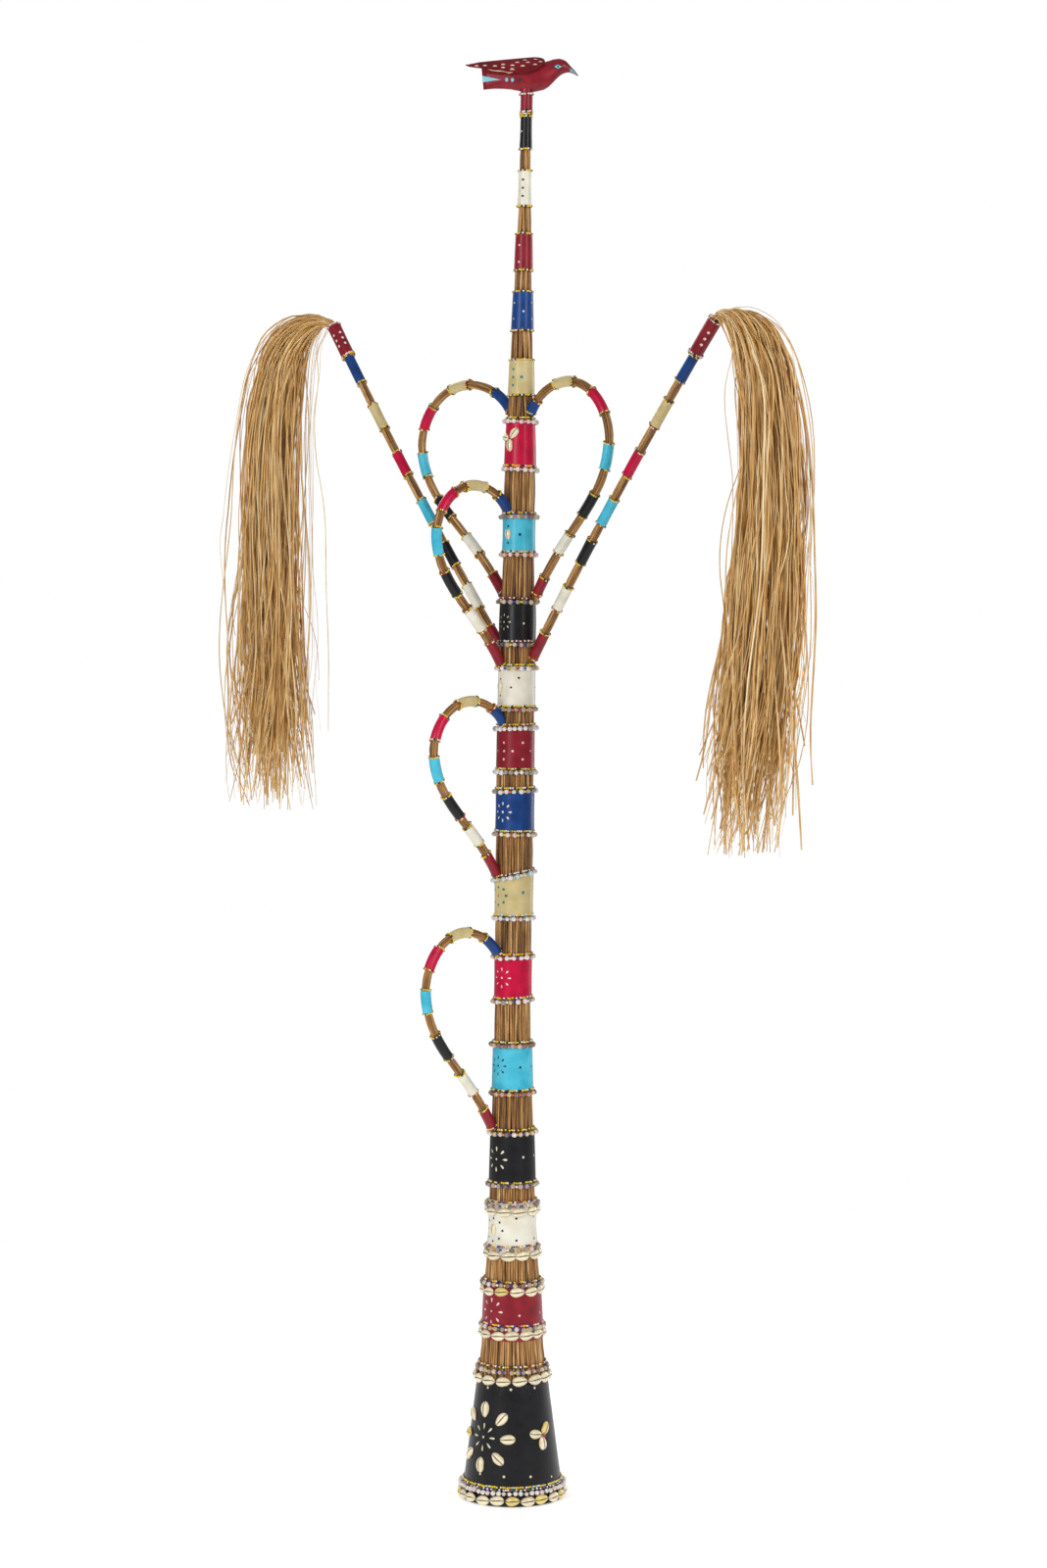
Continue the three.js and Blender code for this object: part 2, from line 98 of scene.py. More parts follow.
# %% [markdown]
# ## Three ways to make a piece
# A sleeve, a shell or a bead is a profile that is spun round an axis. A long thin thing such as a
# rib or a straw is one straight rod, spun once, whose copies are bent along their own lines. And a
# piece that sits on another is a small shape that is copied to its places. Copying the finished
# mesh as arrays keeps thousands of beads quick, where one bmesh call for each would be slow.


# %% Spin a profile
def turned(profile, sides, close=False):
    """A bmesh of (radius, height) points spun about Z, its poles and seam closed."""
    bm = bmesh.new()
    verts = [bm.verts.new((radius, 0, height)) for radius, height in profile]
    edges = [bm.edges.new(pair) for pair in zip(verts, verts[1:] + (verts[:1] if close else []))]
    bmesh.ops.spin(
        bm, geom=verts + edges, cent=(0, 0, 0), axis=(0, 0, 1), angle=math.tau, steps=sides, use_merge=True
    )
    bmesh.ops.remove_doubles(bm, verts=bm.verts, dist=1e-4)
    bmesh.ops.recalc_face_normals(bm, faces=bm.faces)
    return bm


# %% Keep a shape to copy it
def mesh_of(bm, name):
    """The bmesh as a mesh, in mm still."""
    mesh = bpy.data.meshes.new(name)
    bm.to_mesh(mesh)
    bm.free()
    return mesh


def shape_of(bm):
    """A bmesh's vertices, face corners and face starts, as arrays."""
    mesh = mesh_of(bm, "shape")
    points = np.empty(3 * len(mesh.vertices))
    corners = np.empty(len(mesh.loops), np.int32)
    starts = np.empty(len(mesh.polygons), np.int32)
    mesh.vertices.foreach_get("co", points)
    mesh.loops.foreach_get("vertex_index", corners)
    mesh.polygons.foreach_get("loop_start", starts)
    bpy.data.meshes.remove(mesh)
    return points.reshape(-1, 3), corners, starts


# %% Copy a shape to many places
class Heap:
    """Collects copies of shapes, then makes them one mesh with its point attributes."""

    def __init__(self):
        self.points, self.corners, self.starts, self.slots = [], [], [], []
        self.values = {}
        self.size = self.loops = 0

    def add(self, shape, places, slot=0, **values):
        """places is an array of copies x points x 3, in mm. values are given for each copy or point."""
        _, corners, starts = shape
        copies, count = places.shape[:2]
        steps = np.arange(copies)[:, None]
        self.points.append(places.reshape(-1, 3))
        self.corners.append((corners + self.size + steps * count).ravel())
        self.starts.append((starts + self.loops + steps * len(corners)).ravel())
        self.slots.append(np.full(copies * len(starts), slot))
        for key, value in values.items():
            value = np.asarray(value, float)
            if value.ndim == 1 or value.shape[1] != count:
                value = np.repeat(value[:, None], count, axis=1)
            self.values.setdefault(key, []).append(value.reshape(copies * count, -1))
        self.size += copies * count
        self.loops += copies * len(corners)

    def mesh(self, name):
        mesh = bpy.data.meshes.new(name)
        mesh.vertices.add(self.size)
        mesh.loops.add(self.loops)
        starts = np.concatenate(self.starts)
        mesh.polygons.add(len(starts))
        mesh.vertices.foreach_set("co", (np.concatenate(self.points) * MM).ravel())
        mesh.loops.foreach_set("vertex_index", np.concatenate(self.corners))
        mesh.polygons.foreach_set("loop_start", starts)
        mesh.polygons.foreach_set("material_index", np.concatenate(self.slots).astype(np.int32))
        mesh.polygons.foreach_set("use_smooth", np.ones(len(starts), bool))
        kinds = {1: ("FLOAT", "value"), 3: ("FLOAT_VECTOR", "vector"), 4: ("FLOAT_COLOR", "color")}
        for key, parts in self.values.items():
            value = np.concatenate(parts).astype(np.float32)
            kind, field = kinds[value.shape[1]]
            mesh.attributes.new(key, kind, "POINT").data.foreach_set(field, value.ravel())
        mesh.update(calc_edges=True)
        mesh.validate()
        return mesh


# %% Put a piece in the scene
made = []


def placed(name, data):
    """A new object in the scene."""
    obj = bpy.data.objects.new(name, data)
    bpy.context.scene.collection.objects.link(obj)
    return obj


def piece(name, mesh, materials, slot, *nodes):
    """The mesh or heap as a piece of the staff that rides on the body and stands for the named solids."""
    if isinstance(mesh, Heap):
        mesh = mesh.mesh(name)
    obj = placed(name, mesh)
    for material in materials:
        mesh.materials.append(material)
    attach(obj, "root")
    if nodes:
        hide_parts(*nodes)
    made.append((name, sum(len(face.vertices) - 2 for face in mesh.polygons)))


# %% [markdown]
# ## Palm ribs, the material
# A palm-leaf rib is split from the frond and dried. It is a glossy brown rod with pale fibres along
# it and darker skin between them. Each rib differs from its neighbour, so every copy carries a
# random tint, and the streaks are a noise that is stretched along the rib. The rods bend, so the
# noise reads an attribute that holds the place in the straight rod and follows the bend.


# %% Colours and nodes
def linear(hex_colour):
    """An sRGB hex colour as linear red, green, blue and alpha."""
    values = [int(hex_colour[i : i + 2], 16) / 255 for i in (1, 3, 5)]
    return [v / 12.92 if v <= 0.04045 else ((v + 0.055) / 1.055) ** 2.4 for v in values] + [1]


def wire(material, node, inputs):
    """Links each socket in inputs to the node and sets anything else on it."""
    for key, value in inputs.items():
        if isinstance(value, bpy.types.NodeSocket):
            material.node_tree.links.new(value, node.inputs[key])
        else:
            node.inputs[key].default_value = value


def add(material, kind, inputs, stops=(), **properties):
    """Adds a node and wires it. stops are the (place, hex colour) pairs of a colour ramp."""
    node = material.node_tree.nodes.new("ShaderNode" + kind)
    for key, value in properties.items():
        setattr(node, key, value)
    for number, (place, colour) in enumerate(stops):
        elements = node.color_ramp.elements
        element = elements[number] if number < len(elements) else elements.new(1)
        element.position, element.color = place, linear(colour)
    wire(material, node, inputs)
    return node


def surface(name, settings):
    """A new material with one Principled shader, and that shader."""
    material = bpy.data.materials.new(name)
    material.use_nodes = True
    shader = material.node_tree.nodes["Principled BSDF"]
    wire(material, shader, settings)
    return material, shader


# %% Dried plant: ribs and straw
def dried_plant(name, stops, roughness, per_mm, relief):
    """Streaks along each rod: per_mm is how many cross its width in a millimetre."""
    material, shader = surface(name, {"Roughness": roughness})
    grain = add(material, "Attribute", {}, attribute_name="grain").outputs["Vector"]
    tint = add(material, "Attribute", {}, attribute_name="tint").outputs["Fac"]
    along = add(material, "Mapping", {"Vector": grain, "Scale": (per_mm, per_mm, 0.035)}).outputs[0]
    streak = add(material, "TexNoise", {"Vector": along, "Scale": 1.0, "Detail": 3.0}).outputs[0]
    patch = add(material, "TexNoise", {"Vector": grain, "Scale": 0.03, "Detail": 2.0}).outputs[0]
    spread = add(material, "MapRange", {"Value": streak, "From Min": 0.3, "From Max": 0.7}).outputs[0]
    share = add(material, "Mix", {0: 0.5, 2: spread, 3: tint}, data_type="FLOAT").outputs[0]
    worn = add(material, "Mix", {0: 0.3, 2: share, 3: patch}, data_type="FLOAT").outputs[0]
    colour = add(material, "ValToRGB", {"Fac": worn}, stops).outputs[0]
    fibre = add(material, "Mapping", {"Vector": grain, "Scale": (3 * per_mm, 3 * per_mm, 0.06)}).outputs[0]
    fine = add(material, "TexNoise", {"Vector": fibre, "Scale": 1.0, "Detail": 2.0}).outputs[0]
    bump = add(material, "Bump", {"Height": fine, "Strength": 0.5, "Distance": relief}).outputs[0]
    wire(material, shader, {"Base Color": colour, "Normal": bump})
    return material


# Split palm rib: brown skin with paler fibres, half glossy
PALM_RIB = dried_plant(
    "split_palm_rib", [(0.18, "#2e1a0a"), (0.4, "#7d5326"), (0.58, "#b48142"), (0.8, "#ebc58a")],
    0.5, 1.1, 0.0005,
)
# The ribs inside the bundle see no light: their dark colour is painted shade
SHADED_INNER_RIB = dried_plant(
    "inner_palm_rib_painted_shade", [(0.2, "#1a0f06"), (0.5, "#33200d"), (0.8, "#503617")], 0.7, 0.5, 0.0004
)
# Palm straw: thin dry strips, matt and pale
STRAW = dried_plant(
    "palm_straw", [(0.12, "#845a2a"), (0.36, "#cf9b52"), (0.56, "#f0c681"), (0.8, "#fff0c6")],
    0.42, 0.6, 0.0002,
)
print("plant materials:", PALM_RIB.name, SHADED_INNER_RIB.name, STRAW.name)

# %% [markdown]
# ## Bending rods along a line
# One straight rod of length 1 and radius 1 stands for all ribs and straws. For each copy the rings
# of the rod are set on points of its own line, turned with the line and given their radius there.


# %% Directions
def unit(vectors):
    return vectors / np.linalg.norm(vectors, axis=-1, keepdims=True)


def outwards(angles, rise=0.0):
    """The directions from the axis at those angles, in radians, each with that rise."""
    return np.stack([np.cos(angles), np.sin(angles), rise + 0 * angles], axis=-1)


def all_round(rng, count, uneven):
    """Angles right round at an even pitch, each off its place by up to uneven of a pitch."""
    return (np.arange(count) + rng.uniform(-uneven, uneven, count)) * math.tau / count


# %% A straight rod and how it bends
GRAIN_SHIFT = (31, 57, 400)


def rod(rings, sides):
    """A closed rod: its vertex height is the number of its ring."""
    return shape_of(turned([(0, 0)] + [(1, i) for i in range(rings)] + [(0, rings - 1)], sides))


def add_rods(heap, lines, radii, sideways, seeds, tints, sides=7, thickness=1.0):
    """Rods along lines (copies x rings x 3) with their radii (copies x rings).

    sideways is the way that a flat rod is wide. The grain is the place in the straight rod in mm,
    shifted by GRAIN_SHIFT times the copy's seed, so that no two share their streaks.
    """
    shape = rod(lines.shape[1], sides)
    x, y, ring = shape[0].T
    ring = np.rint(ring).astype(int)
    tangent = unit(np.gradient(lines, axis=1))
    across = unit(np.cross(tangent, np.cross(sideways, tangent)))
    normal = np.cross(tangent, across)
    x, y = x * radii[:, ring], y * radii[:, ring]
    places = lines[:, ring] + across[:, ring] * x[..., None] + normal[:, ring] * y[..., None] * thickness
    steps = np.linalg.norm(np.diff(lines, axis=1), axis=2)
    along = np.concatenate([np.zeros((len(lines), 1)), np.cumsum(steps, axis=1)], axis=1)[:, ring]
    grain = np.stack([x, y, along], axis=2) + seeds[:, None, None] * GRAIN_SHIFT
    heap.add(shape, places, grain=grain, tint=tints)


# %% [markdown]
# ## The stem
# The ribs stand side by side: seventy-five at the foot and fourteen at the neck, because ribs end
# inside the bands as the bundle thins. Between two bands they swell a little, where no leather
# presses them. Each window gets its own row of ribs that run on under the leather at both ends, and
# one fluted form behind them stands for the ribs inside.

# %% Rows of ribs between the bands
RIB_PITCH = 3.2
RIB_STEP = 12
numbers = np.random.default_rng(11)
window_edges = [(SKIRT_TOP - 6, BANDS[0][0] + 3)]
window_edges += [(low[1] - 3, high[0] + 3) for low, high in zip(BANDS, BANDS[1:])]
window_edges += [(BANDS[-1][1] - 3, NECK_LOW + 3)]


def stem_ribs(heap, low, high):
    """A row of ribs right round the stem between two heights."""
    middle = (low + high) / 2
    count = round(math.tau * (rib_radius(middle) - 1.6) / RIB_PITCH)
    rings = max(4, round((high - low) / RIB_STEP) + 1)
    heights = np.linspace(low, high, rings)
    angle = all_round(numbers, count, 0.16)
    # Ribs don't stand quite upright: they drift a little sideways over the window's height
    drift = numbers.normal(0, 0.4, count) / count * math.tau
    share = (heights - low) / (high - low)
    angles = angle[:, None] + drift[:, None] * (share - 0.5)
    radii = numbers.uniform(0.86, 1.12, (count, 1)) * RIB_PITCH / 2 * np.ones((1, rings))
    swell = 0.5 * np.sin(math.pi * share) * numbers.uniform(0.2, 1.4, (count, 1))
    reach = rib_radius(heights) - radii + swell + numbers.uniform(-0.7, 0.4, (count, 1))
    lines = reach[..., None] * outwards(angles)
    lines[..., 0] += lean_at(heights)
    lines[..., 2] = heights
    sideways = outwards(angle + math.pi / 2)[:, None]
    seeds = numbers.uniform(0, 1, count)
    add_rods(heap, lines, radii, sideways, seeds, numbers.uniform(0, 1, count), thickness=0.92)
    return count


for name, first, end in (("lower", 0, 5), ("middle", 5, 12), ("upper", 12, 18)):
    heap = Heap()
    counts = [stem_ribs(heap, *edges) for edges in window_edges[first:end]]
    piece(f"stem_ribs_{name}", heap, [PALM_RIB], "palm_rib", "palm_rib_stem")
    print(name, "rows of ribs:", counts)

# %% The ribs inside the bundle
INNER_DEPTH, FLUTE_DEPTH, INNER_SIDES = 3.0, 0.7, 72
inner_heights = [2.2] + [z for z, _ in RIBS_SEEN[1:-1]] + [1786]
inner_profile = [(0, inner_heights[0])] + [(rib_radius(z) - INNER_DEPTH, z) for z in inner_heights]
bundle = turned(inner_profile + [(0, inner_heights[-1])], INNER_SIDES)
for vert in bundle.verts:
    # Every other side is sunk, so that the form is fluted
    turn = math.atan2(vert.co.y, vert.co.x)
    sunk = 1 - FLUTE_DEPTH * (round(turn / math.tau * INNER_SIDES) % 2) / max(vert.co.xy.length, 5)
    vert.co.x, vert.co.y = vert.co.x * sunk, vert.co.y * sunk
shape = shape_of(bundle)
heap = Heap()
places = shape[0]
places[:, 0] += lean_at(places[:, 2])
heap.add(shape, places[None], grain=places[None], tint=np.full(1, 0.4))
# The fluted form is dark with painted shade, for the ribs inside that see no light
piece("inner_ribs", heap, [SHADED_INNER_RIB], "palm_rib")

# %% The cut ends of the ribs, under the foot
END_PITCH, END_TOP = 4.1, 4.0
steps = np.arange(-16, 17)
row, column = (grid.ravel() for grid in np.meshgrid(steps, steps))
ends = np.column_stack([column + 0.5 * (row % 2), row * math.sqrt(0.75)]) * END_PITCH
ends = ends[np.hypot(*ends.T) < rib_radius(0) - 0.6]
ends += numbers.uniform(-0.35, 0.35, ends.shape)
count = len(ends)
low = numbers.uniform(0.3, 1.3, count)
lines = np.stack([np.column_stack([ends, low]), np.column_stack([ends, np.full(count, END_TOP)])], axis=1)
radii = numbers.uniform(1.75, 2.15, (count, 1)) * np.ones((1, 2))
heap = Heap()
seeds = numbers.uniform(0, 1, count)
add_rods(heap, lines, radii, np.array([[[1.0, 0, 0]]]), seeds, numbers.uniform(0.1, 1, count))
piece("stem_rib_ends", heap, [PALM_RIB], "palm_rib")
print(count, "rib ends")

# %% [markdown]
# ## Dyed leather
# The bands are goatskin that was dyed, wetted and stretched over the ribs, where it dried tight and
# took a polish. So it is smooth and softly glossy, with faint upright ridges from the ribs below,
# clouds of darker dye, fine pores and a rim that is rubbed paler. The rim is drawn from an attribute
# that runs from -1 to 1 over the height of the piece.


# %% The leather materials
def dyed_leather(name, colour, dark, rubbed):
    """Clouds between two tones of one dye, and a third tone where the rim is rubbed."""
    polish = {"Specular IOR Level": 0.25, "Coat Weight": 0.07, "Coat Roughness": 0.12}
    material, shader = surface(name, polish)
    place = add(material, "TexCoord", {}).outputs["Object"]
    clouds = add(material, "TexNoise", {"Vector": place, "Scale": 55.0, "Detail": 4.0}).outputs[0]
    body = add(material, "ValToRGB", {"Fac": clouds}, [(0.3, dark), (0.62, colour)]).outputs[0]
    rim = add(material, "Attribute", {}, attribute_name="rim").outputs["Fac"]
    rim = add(material, "Math", {0: rim}, operation="ABSOLUTE").outputs[0]
    chafe = add(material, "TexNoise", {"Vector": place, "Scale": 320.0, "Detail": 3.0}).outputs[0]
    edge = add(material, "Math", {0: rim, 1: chafe}, operation="MULTIPLY").outputs[0]
    wear = add(material, "MapRange", {"Value": edge, "From Min": 0.5, "From Max": 0.72}).outputs[0]
    worn = add(material, "Mix", {0: wear, 6: body, 7: linear(rubbed)}, data_type="RGBA").outputs[2]
    # Ridges about a rib apart and 40 mm tall, and pores about 0.6 mm apart
    tall = add(material, "Mapping", {"Vector": place, "Scale": (260.0, 260.0, 25.0)}).outputs[0]
    ridges = add(material, "TexNoise", {"Vector": tall, "Scale": 1.0, "Detail": 1.0}).outputs[0]
    ridged = add(material, "Bump", {"Height": ridges, "Strength": 0.32, "Distance": 0.0007}).outputs[0]
    pores = add(material, "TexVoronoi", {"Vector": place, "Scale": 1600.0}).outputs["Distance"]
    porous = add(material, "Bump", {"Height": pores, "Strength": 0.12, "Distance": 0.0002, "Normal": ridged})
    gloss = add(material, "MapRange", {"Value": clouds, "To Min": 0.26, "To Max": 0.44}).outputs[0]
    wire(material, shader, {"Base Color": worn, "Normal": porous.outputs[0], "Roughness": gloss})
    return material


# %% Dyes and linings
LEATHER = {
    name: dyed_leather(name + "_goatskin", colour, dark, rubbed)
    for name, colour, dark, rubbed in [
        ("dark_red", "#921c2b", "#7a1422", "#ab4a52"),
        ("wing_red", "#7c1822", "#5d101a", "#9a4450"),
        ("white", "#ece8d8", "#dbd5c1", "#cfc4a2"),
        ("black", "#18171b", "#0f0e11", "#3a383e"),
        ("turquoise", "#52c4dd", "#36aecb", "#86d6e6"),
        ("pink", "#cd003e", "#b00034", "#d83a6c"),
        ("cream", "#d4c28e", "#c3b077", "#e2d5aa"),
        ("blue", "#144489", "#0e3269", "#4265ac"),
    ]
}
# The thin lining skins that show through the cut-outs are plain and undyed or dyed dull. Each is
# listed with the dye that it is nearest to.
LININGS = [
    ("pale", "#ece4c6", "#dcd2ac", "cream"),
    ("rose", "#f3ddd6", "#e4c7bf", "white"),
    ("bright", "#f7f3ef", "#e9e2da", "white"),
    ("peach", "#f6e2cc", "#ecccb0", "white"),
    ("navy", "#23286a", "#191d4d", "blue"),
    ("dark", "#262a2c", "#15181a", "black"),
    ("teal", "#3f8f93", "#2f7d83", "turquoise"),
]
LINING, LINING_SLOT = {}, {}
for name, colour, dark, slot in LININGS:
    LINING[name] = dyed_leather(name + "_lining_skin", colour, dark, colour)
    LINING_SLOT[name] = slot
print(len(LEATHER), "dyes and", len(LINING), "linings")

# %% [markdown]
# ## Cut-outs
# The flowers and dots are holes, cut through the dyed skin before it went round the ribs, and a
# second skin of another colour shows in them. That is how they are made here: each hole is a small
# prism, all prisms of a band are cut out in one Boolean, and a second sleeve lies underneath. A
# Boolean leaves long faces with uneven shading, so the round outside gets its true normals back.

# %% The prisms for the holes
KNIFE_DEPTH = 5


def prism(bm, matrix, size, length=0):
    """A round prism of that width, drawn out into a petal where it has a length."""
    new = bmesh.ops.create_cone(bm, cap_ends=True, segments=12, radius1=0.5, radius2=0.5, depth=1)["verts"]
    for vert in new:
        x, y, z = vert.co
        if length:
            # A petal is narrow towards the flower's middle and wide at its end
            x *= 0.8 + 0.9 * y
        vert.co = matrix @ Vector((x * size, y * (length or size), z * KNIFE_DEPTH))


def on_surface(radius, slope, angle, z, turn=0.0):
    """The frame of a mark on a sleeve: its Z points outwards and its Y up, turned by turn."""
    out = Vector((math.cos(angle), math.sin(angle), 0))
    up = Vector((slope * out.x, slope * out.y, 1)).normalized()
    side = up.cross(out)
    basis = Matrix((side, up, side.cross(up))).transposed().to_4x4()
    place = Matrix.Translation((radius * out.x, radius * out.y, z))
    return place @ basis @ Matrix.Rotation(turn, 4, "Z")


# A mark is (angle, height, width, length, turn, distance from its motif's middle)
def flower(angle, z, reach, length, width, centre):
    """Eight petals with their ends at reach, or dots where they have no length, round a dot."""
    marks = [(angle, z, centre, 0, 0, 0)] if centre else []
    return marks + [(angle, z, width, length, k * math.tau / 8, reach - length / 2) for k in range(8)]


def dots(angles, heights, size):
    """Dots at each of the heights over each of the angles, which are in degrees."""
    return [(math.radians(angle), z, size, 0, 0, 0) for angle in angles for z in heights]


# %% Cut the holes
def cut_out(mesh, knives):
    """The mesh without what lies inside the knives."""
    body, knife = placed("cut", mesh), placed("knife", knives)
    cut = body.modifiers.new("holes", "BOOLEAN")
    cut.operation, cut.solver, cut.object = "DIFFERENCE", "MANIFOLD", knife
    result = bpy.data.meshes.new_from_object(body.evaluated_get(bpy.context.evaluated_depsgraph_get()))
    result.materials.clear()
    for obj, data in ((body, mesh), (knife, knives)):
        bpy.data.objects.remove(obj)
        bpy.data.meshes.remove(data)
    return result


def punched(mesh, marks, radius_at):
    """The upright sleeve with its marks cut through."""
    cutters = bmesh.new()
    for angle, z, size, length, turn, reach in marks:
        slope = slope_of(radius_at, z, 5)
        # A petal lies reach away from the flower's middle on the unrolled skin
        across, rise = -math.sin(turn) * reach, math.cos(turn) * reach
        radius = radius_at(z + rise)
        place = on_surface(radius, slope, angle + across / radius, z + rise, turn)
        prism(cutters, place, size, length)
    return cut_out(mesh, mesh_of(cutters, "knives"))


# %% Wrap the strip and give its outside true normals
def wrap_round(mesh, seam):
    """The strip's end lies on its start: the radius grows over one turn from the seam."""
    for vert in mesh.vertices:
        turn = (math.atan2(vert.co.y, vert.co.x) - seam) % math.tau / math.tau
        grown = 1 + OVERLAP * turn / vert.co.xy.length
        vert.co.x, vert.co.y = vert.co.x * grown, vert.co.y * grown


def rounded_outside(mesh, radius_at):
    """Smooth normals on the round outside, taken from the profile, and flat ones elsewhere."""
    normals = []
    for face in mesh.polygons:
        face.use_smooth = True
        outward = Vector((face.center.x, face.center.y, 0)).normalized()
        is_outside = face.normal.dot(outward) > 0.965
        for index in face.vertices:
            x, y, z = mesh.vertices[index].co
            flat = math.hypot(x, y)
            round_off = (x / flat, y / flat, -slope_of(radius_at, z, 3))
            normals.append(round_off if is_outside else face.normal)
    mesh.normals_split_custom_set([Vector(normal).normalized() for normal in normals])


# %% A sleeve of leather with its lining
# The lining lies LINING_STEP under the outside, and a strip's end stands OVERLAP over its start
LEATHER_THICKNESS, LINING_STEP, OVERLAP = 0.8, 0.45, 0.55
# A rim is rounded off over its last RIM_HEIGHT, and rows of points lie ROW_PITCH apart between the rims
RIM_HEIGHT, ROW_PITCH = 1.2, 7


def sleeve_profile(low, high, radius_at):
    """Closed (radius, height) outline of a sleeve."""
    top = high - RIM_HEIGHT
    rows = list(np.arange(low + RIM_HEIGHT, top, ROW_PITCH)) + [top]
    outer = [(radius_at(low) - 0.45, low), (radius_at(low) - 0.1, low + 0.35)]
    outer += [(radius_at(z), z) for z in rows]
    outer += [(radius_at(high) - 0.1, high - 0.35), (radius_at(high) - 0.45, high)]
    inner = [(radius_at(z) - LEATHER_THICKNESS, z) for z in [high] + rows[::-1] + [low]]
    return outer + inner


def leaned(co):
    return Vector((co.x + lean_at(co.z), co.y, co.z))


def leather_sleeve(name, low, high, radius_at, sides, marks, dye, lining, *nodes, place=leaned, seam=2.0):
    """A sleeve with its cut-outs and, under them, its lining. place moves a point that is still upright."""
    layers = [(name, 0, radius_at, LEATHER[dye], dye, nodes)]
    if marks:
        under = lambda z: radius_at(z) - LINING_STEP
        layers.append((name + "_lining", 0.8, under, LINING[lining], LINING_SLOT[lining], ()))
    for label, inset, round_at, material, slot, stands_for in layers:
        mesh = mesh_of(turned(sleeve_profile(low + inset, high - inset, round_at), sides, True), label)
        if marks and label == name:
            mesh = punched(mesh, marks, radius_at)
        wrap_round(mesh, seam)
        rounded_outside(mesh, round_at)
        rim = mesh.attributes.new("rim", "FLOAT", "POINT")
        middle, half = (low + high) / 2, (high - low) / 2
        rim.data.foreach_set("value", [(vert.co.z - middle) / half for vert in mesh.vertices])
        for vert in mesh.vertices:
            vert.co = place(vert.co) * MM
        mesh.name = label
        mesh.update()
        piece(label, mesh, [material], "leather_" + slot, *stands_for)


print("sleeves are", LEATHER_THICKNESS, "mm thick, the lining lies", LINING_STEP, "mm deeper")

# %% [markdown]
# ## The bands of the stem
# Seventeen bands repeat seven dyes from the foot up. Most have a flower on the front and on the
# back and dots towards the sides. The tables give, for each band, the lining and the cut-outs. All
# heights in them start from the middle of the band.

# %% Cut-outs of each band
FRONT, BACK = math.radians(-90), math.radians(90)
BAND_LININGS = [
    "rose", "navy", "pale", "dark", "bright", "teal", "bright", "rose", "dark", "pale", "dark", "pale",
    "teal", "pale", "rose", "dark", "bright",
]
# Turn from the front and the back in degrees, height, reach, length and width of a petal, centre dot
BAND_FLOWERS = {
    0: (1, -1, 17.2, 6.6, 3.4, 3), 1: (-6, 0, 14.6, 0, 3.3, 0), 2: (1, 0, 16.2, 7, 3.5, 3),
    3: (0, 3, 12.6, 5, 2.6, 3), 4: (8, 0, 13, 4.8, 2.6, 3), 5: (-8, 3, 12.6, 0, 4.2, 3.3),
    6: (6, 0, 12.8, 5, 3, 3.6), 9: (-2, 0, 10.6, 4.2, 2.3, 2.7),
}
# Angles in degrees, heights and width of the dots
BAND_DOTS = {
    0: [((-31, 22, 149, 202), (-5,), 3.2)],
    1: [((-35, 17, 145, 197), (-12, 16), 3.3)],
    2: [((-16, 164, 26, 206), (3,), 3.6)],
    3: [((-22, 24, 158, 204), (1.5,), 3.5)],
    5: [((-16, 50, 164, 230), (5,), 4.4)],
    7: [(range(-83, 218, 60), (-11.8, 9.2), 3.4), ((*range(-54, 247, 60), -82, 98), (-1.3,), 3.4)],
    8: [((-104, 76), (-10.5, 10.5), 2.9), ((-62, 118, -146, 34), (0,), 3.1), ((-38, 142), (12,), 3.1)],
    9: [((-25, 155, 26, 206), (-2,), 3)],
    10: [((-86, 94), (-10.5, 10.5), 3.3), ((-41, 49, 139, 229), (0,), 3.7)],
    12: [((-85, 95), (-10, 0, 10), 3.8), ((-44, 50, 136, 220), (0,), 4.1)],
    13: [((-100, 14, 134), (-10, 10), 2.8), ((-40, 74, 194), (-1,), 2.9)],
    14: [((-76, 104), (-13, 8), 3), ((54, 194), (0,), 3)],
    15: [((-62, 118), (-10.2, 0, 10.2), 3.3)],
    16: [((-95, 85), (1,), 2.9)],
}


def band_marks(index, middle):
    """The marks of a band whose middle is at that height."""
    marks = []
    if index in BAND_FLOWERS:
        turn, rise, *sizes = BAND_FLOWERS[index]
        for centre in (FRONT, BACK):
            marks += flower(centre + math.radians(turn), middle + rise, *sizes)
    for angles, rises, size in BAND_DOTS.get(index, []):
        marks += dots(angles, [middle + rise for rise in rises], size)
    return marks


# %% Wrap the bands
SKIN_OVER_RIBS = 1.25
# How far the skin runs on under the strings, below and above. The lowest two reach past their cowries.
UNDER_STRINGS = {0: (20, 18), 1: (16, 20)}
# The first bands have a string of seeds at both edges, and the thin ones above only beads
SEEDED_BANDS = 12
CREAM_BAND, CREAM_SLANT = 5, 0.2


def band_radius(z):
    return rib_radius(z) + SKIN_OVER_RIBS


def slanted(co):
    """The cream band's upper edge rises towards the right, with the string on it."""
    share = (co.z - BANDS[CREAM_BAND][0]) / (BANDS[CREAM_BAND][1] - BANDS[CREAM_BAND][0])
    co.z += CREAM_SLANT * (co.x + co.y) * math.sqrt(0.5) * max(share, 0) ** 1.5
    return leaned(co)


for index, (low, high) in enumerate(BANDS):
    dye = DYES[index % len(DYES)]
    under, over = UNDER_STRINGS.get(index, (2.6, 4.6) if index < SEEDED_BANDS else (0.4, 0.4))
    name = f"band_{index + 1:02d}_{dye}"
    # The seams lie round the far side
    seam = math.radians(24 + 53 * (index + 1) % 140)
    leather_sleeve(
        "leather_" + name, low - under, high + over, band_radius, 64 if index < SEEDED_BANDS else 40,
        band_marks(index, (low + high) / 2), dye, BAND_LININGS[index], name,
        place=slanted if index == CREAM_BAND else leaned, seam=seam,
    )
print(len(BANDS), "bands,", made[-1])


# %% The skirt of the foot
def skirt_radius(z):
    return rib_radius(z) + 2.7


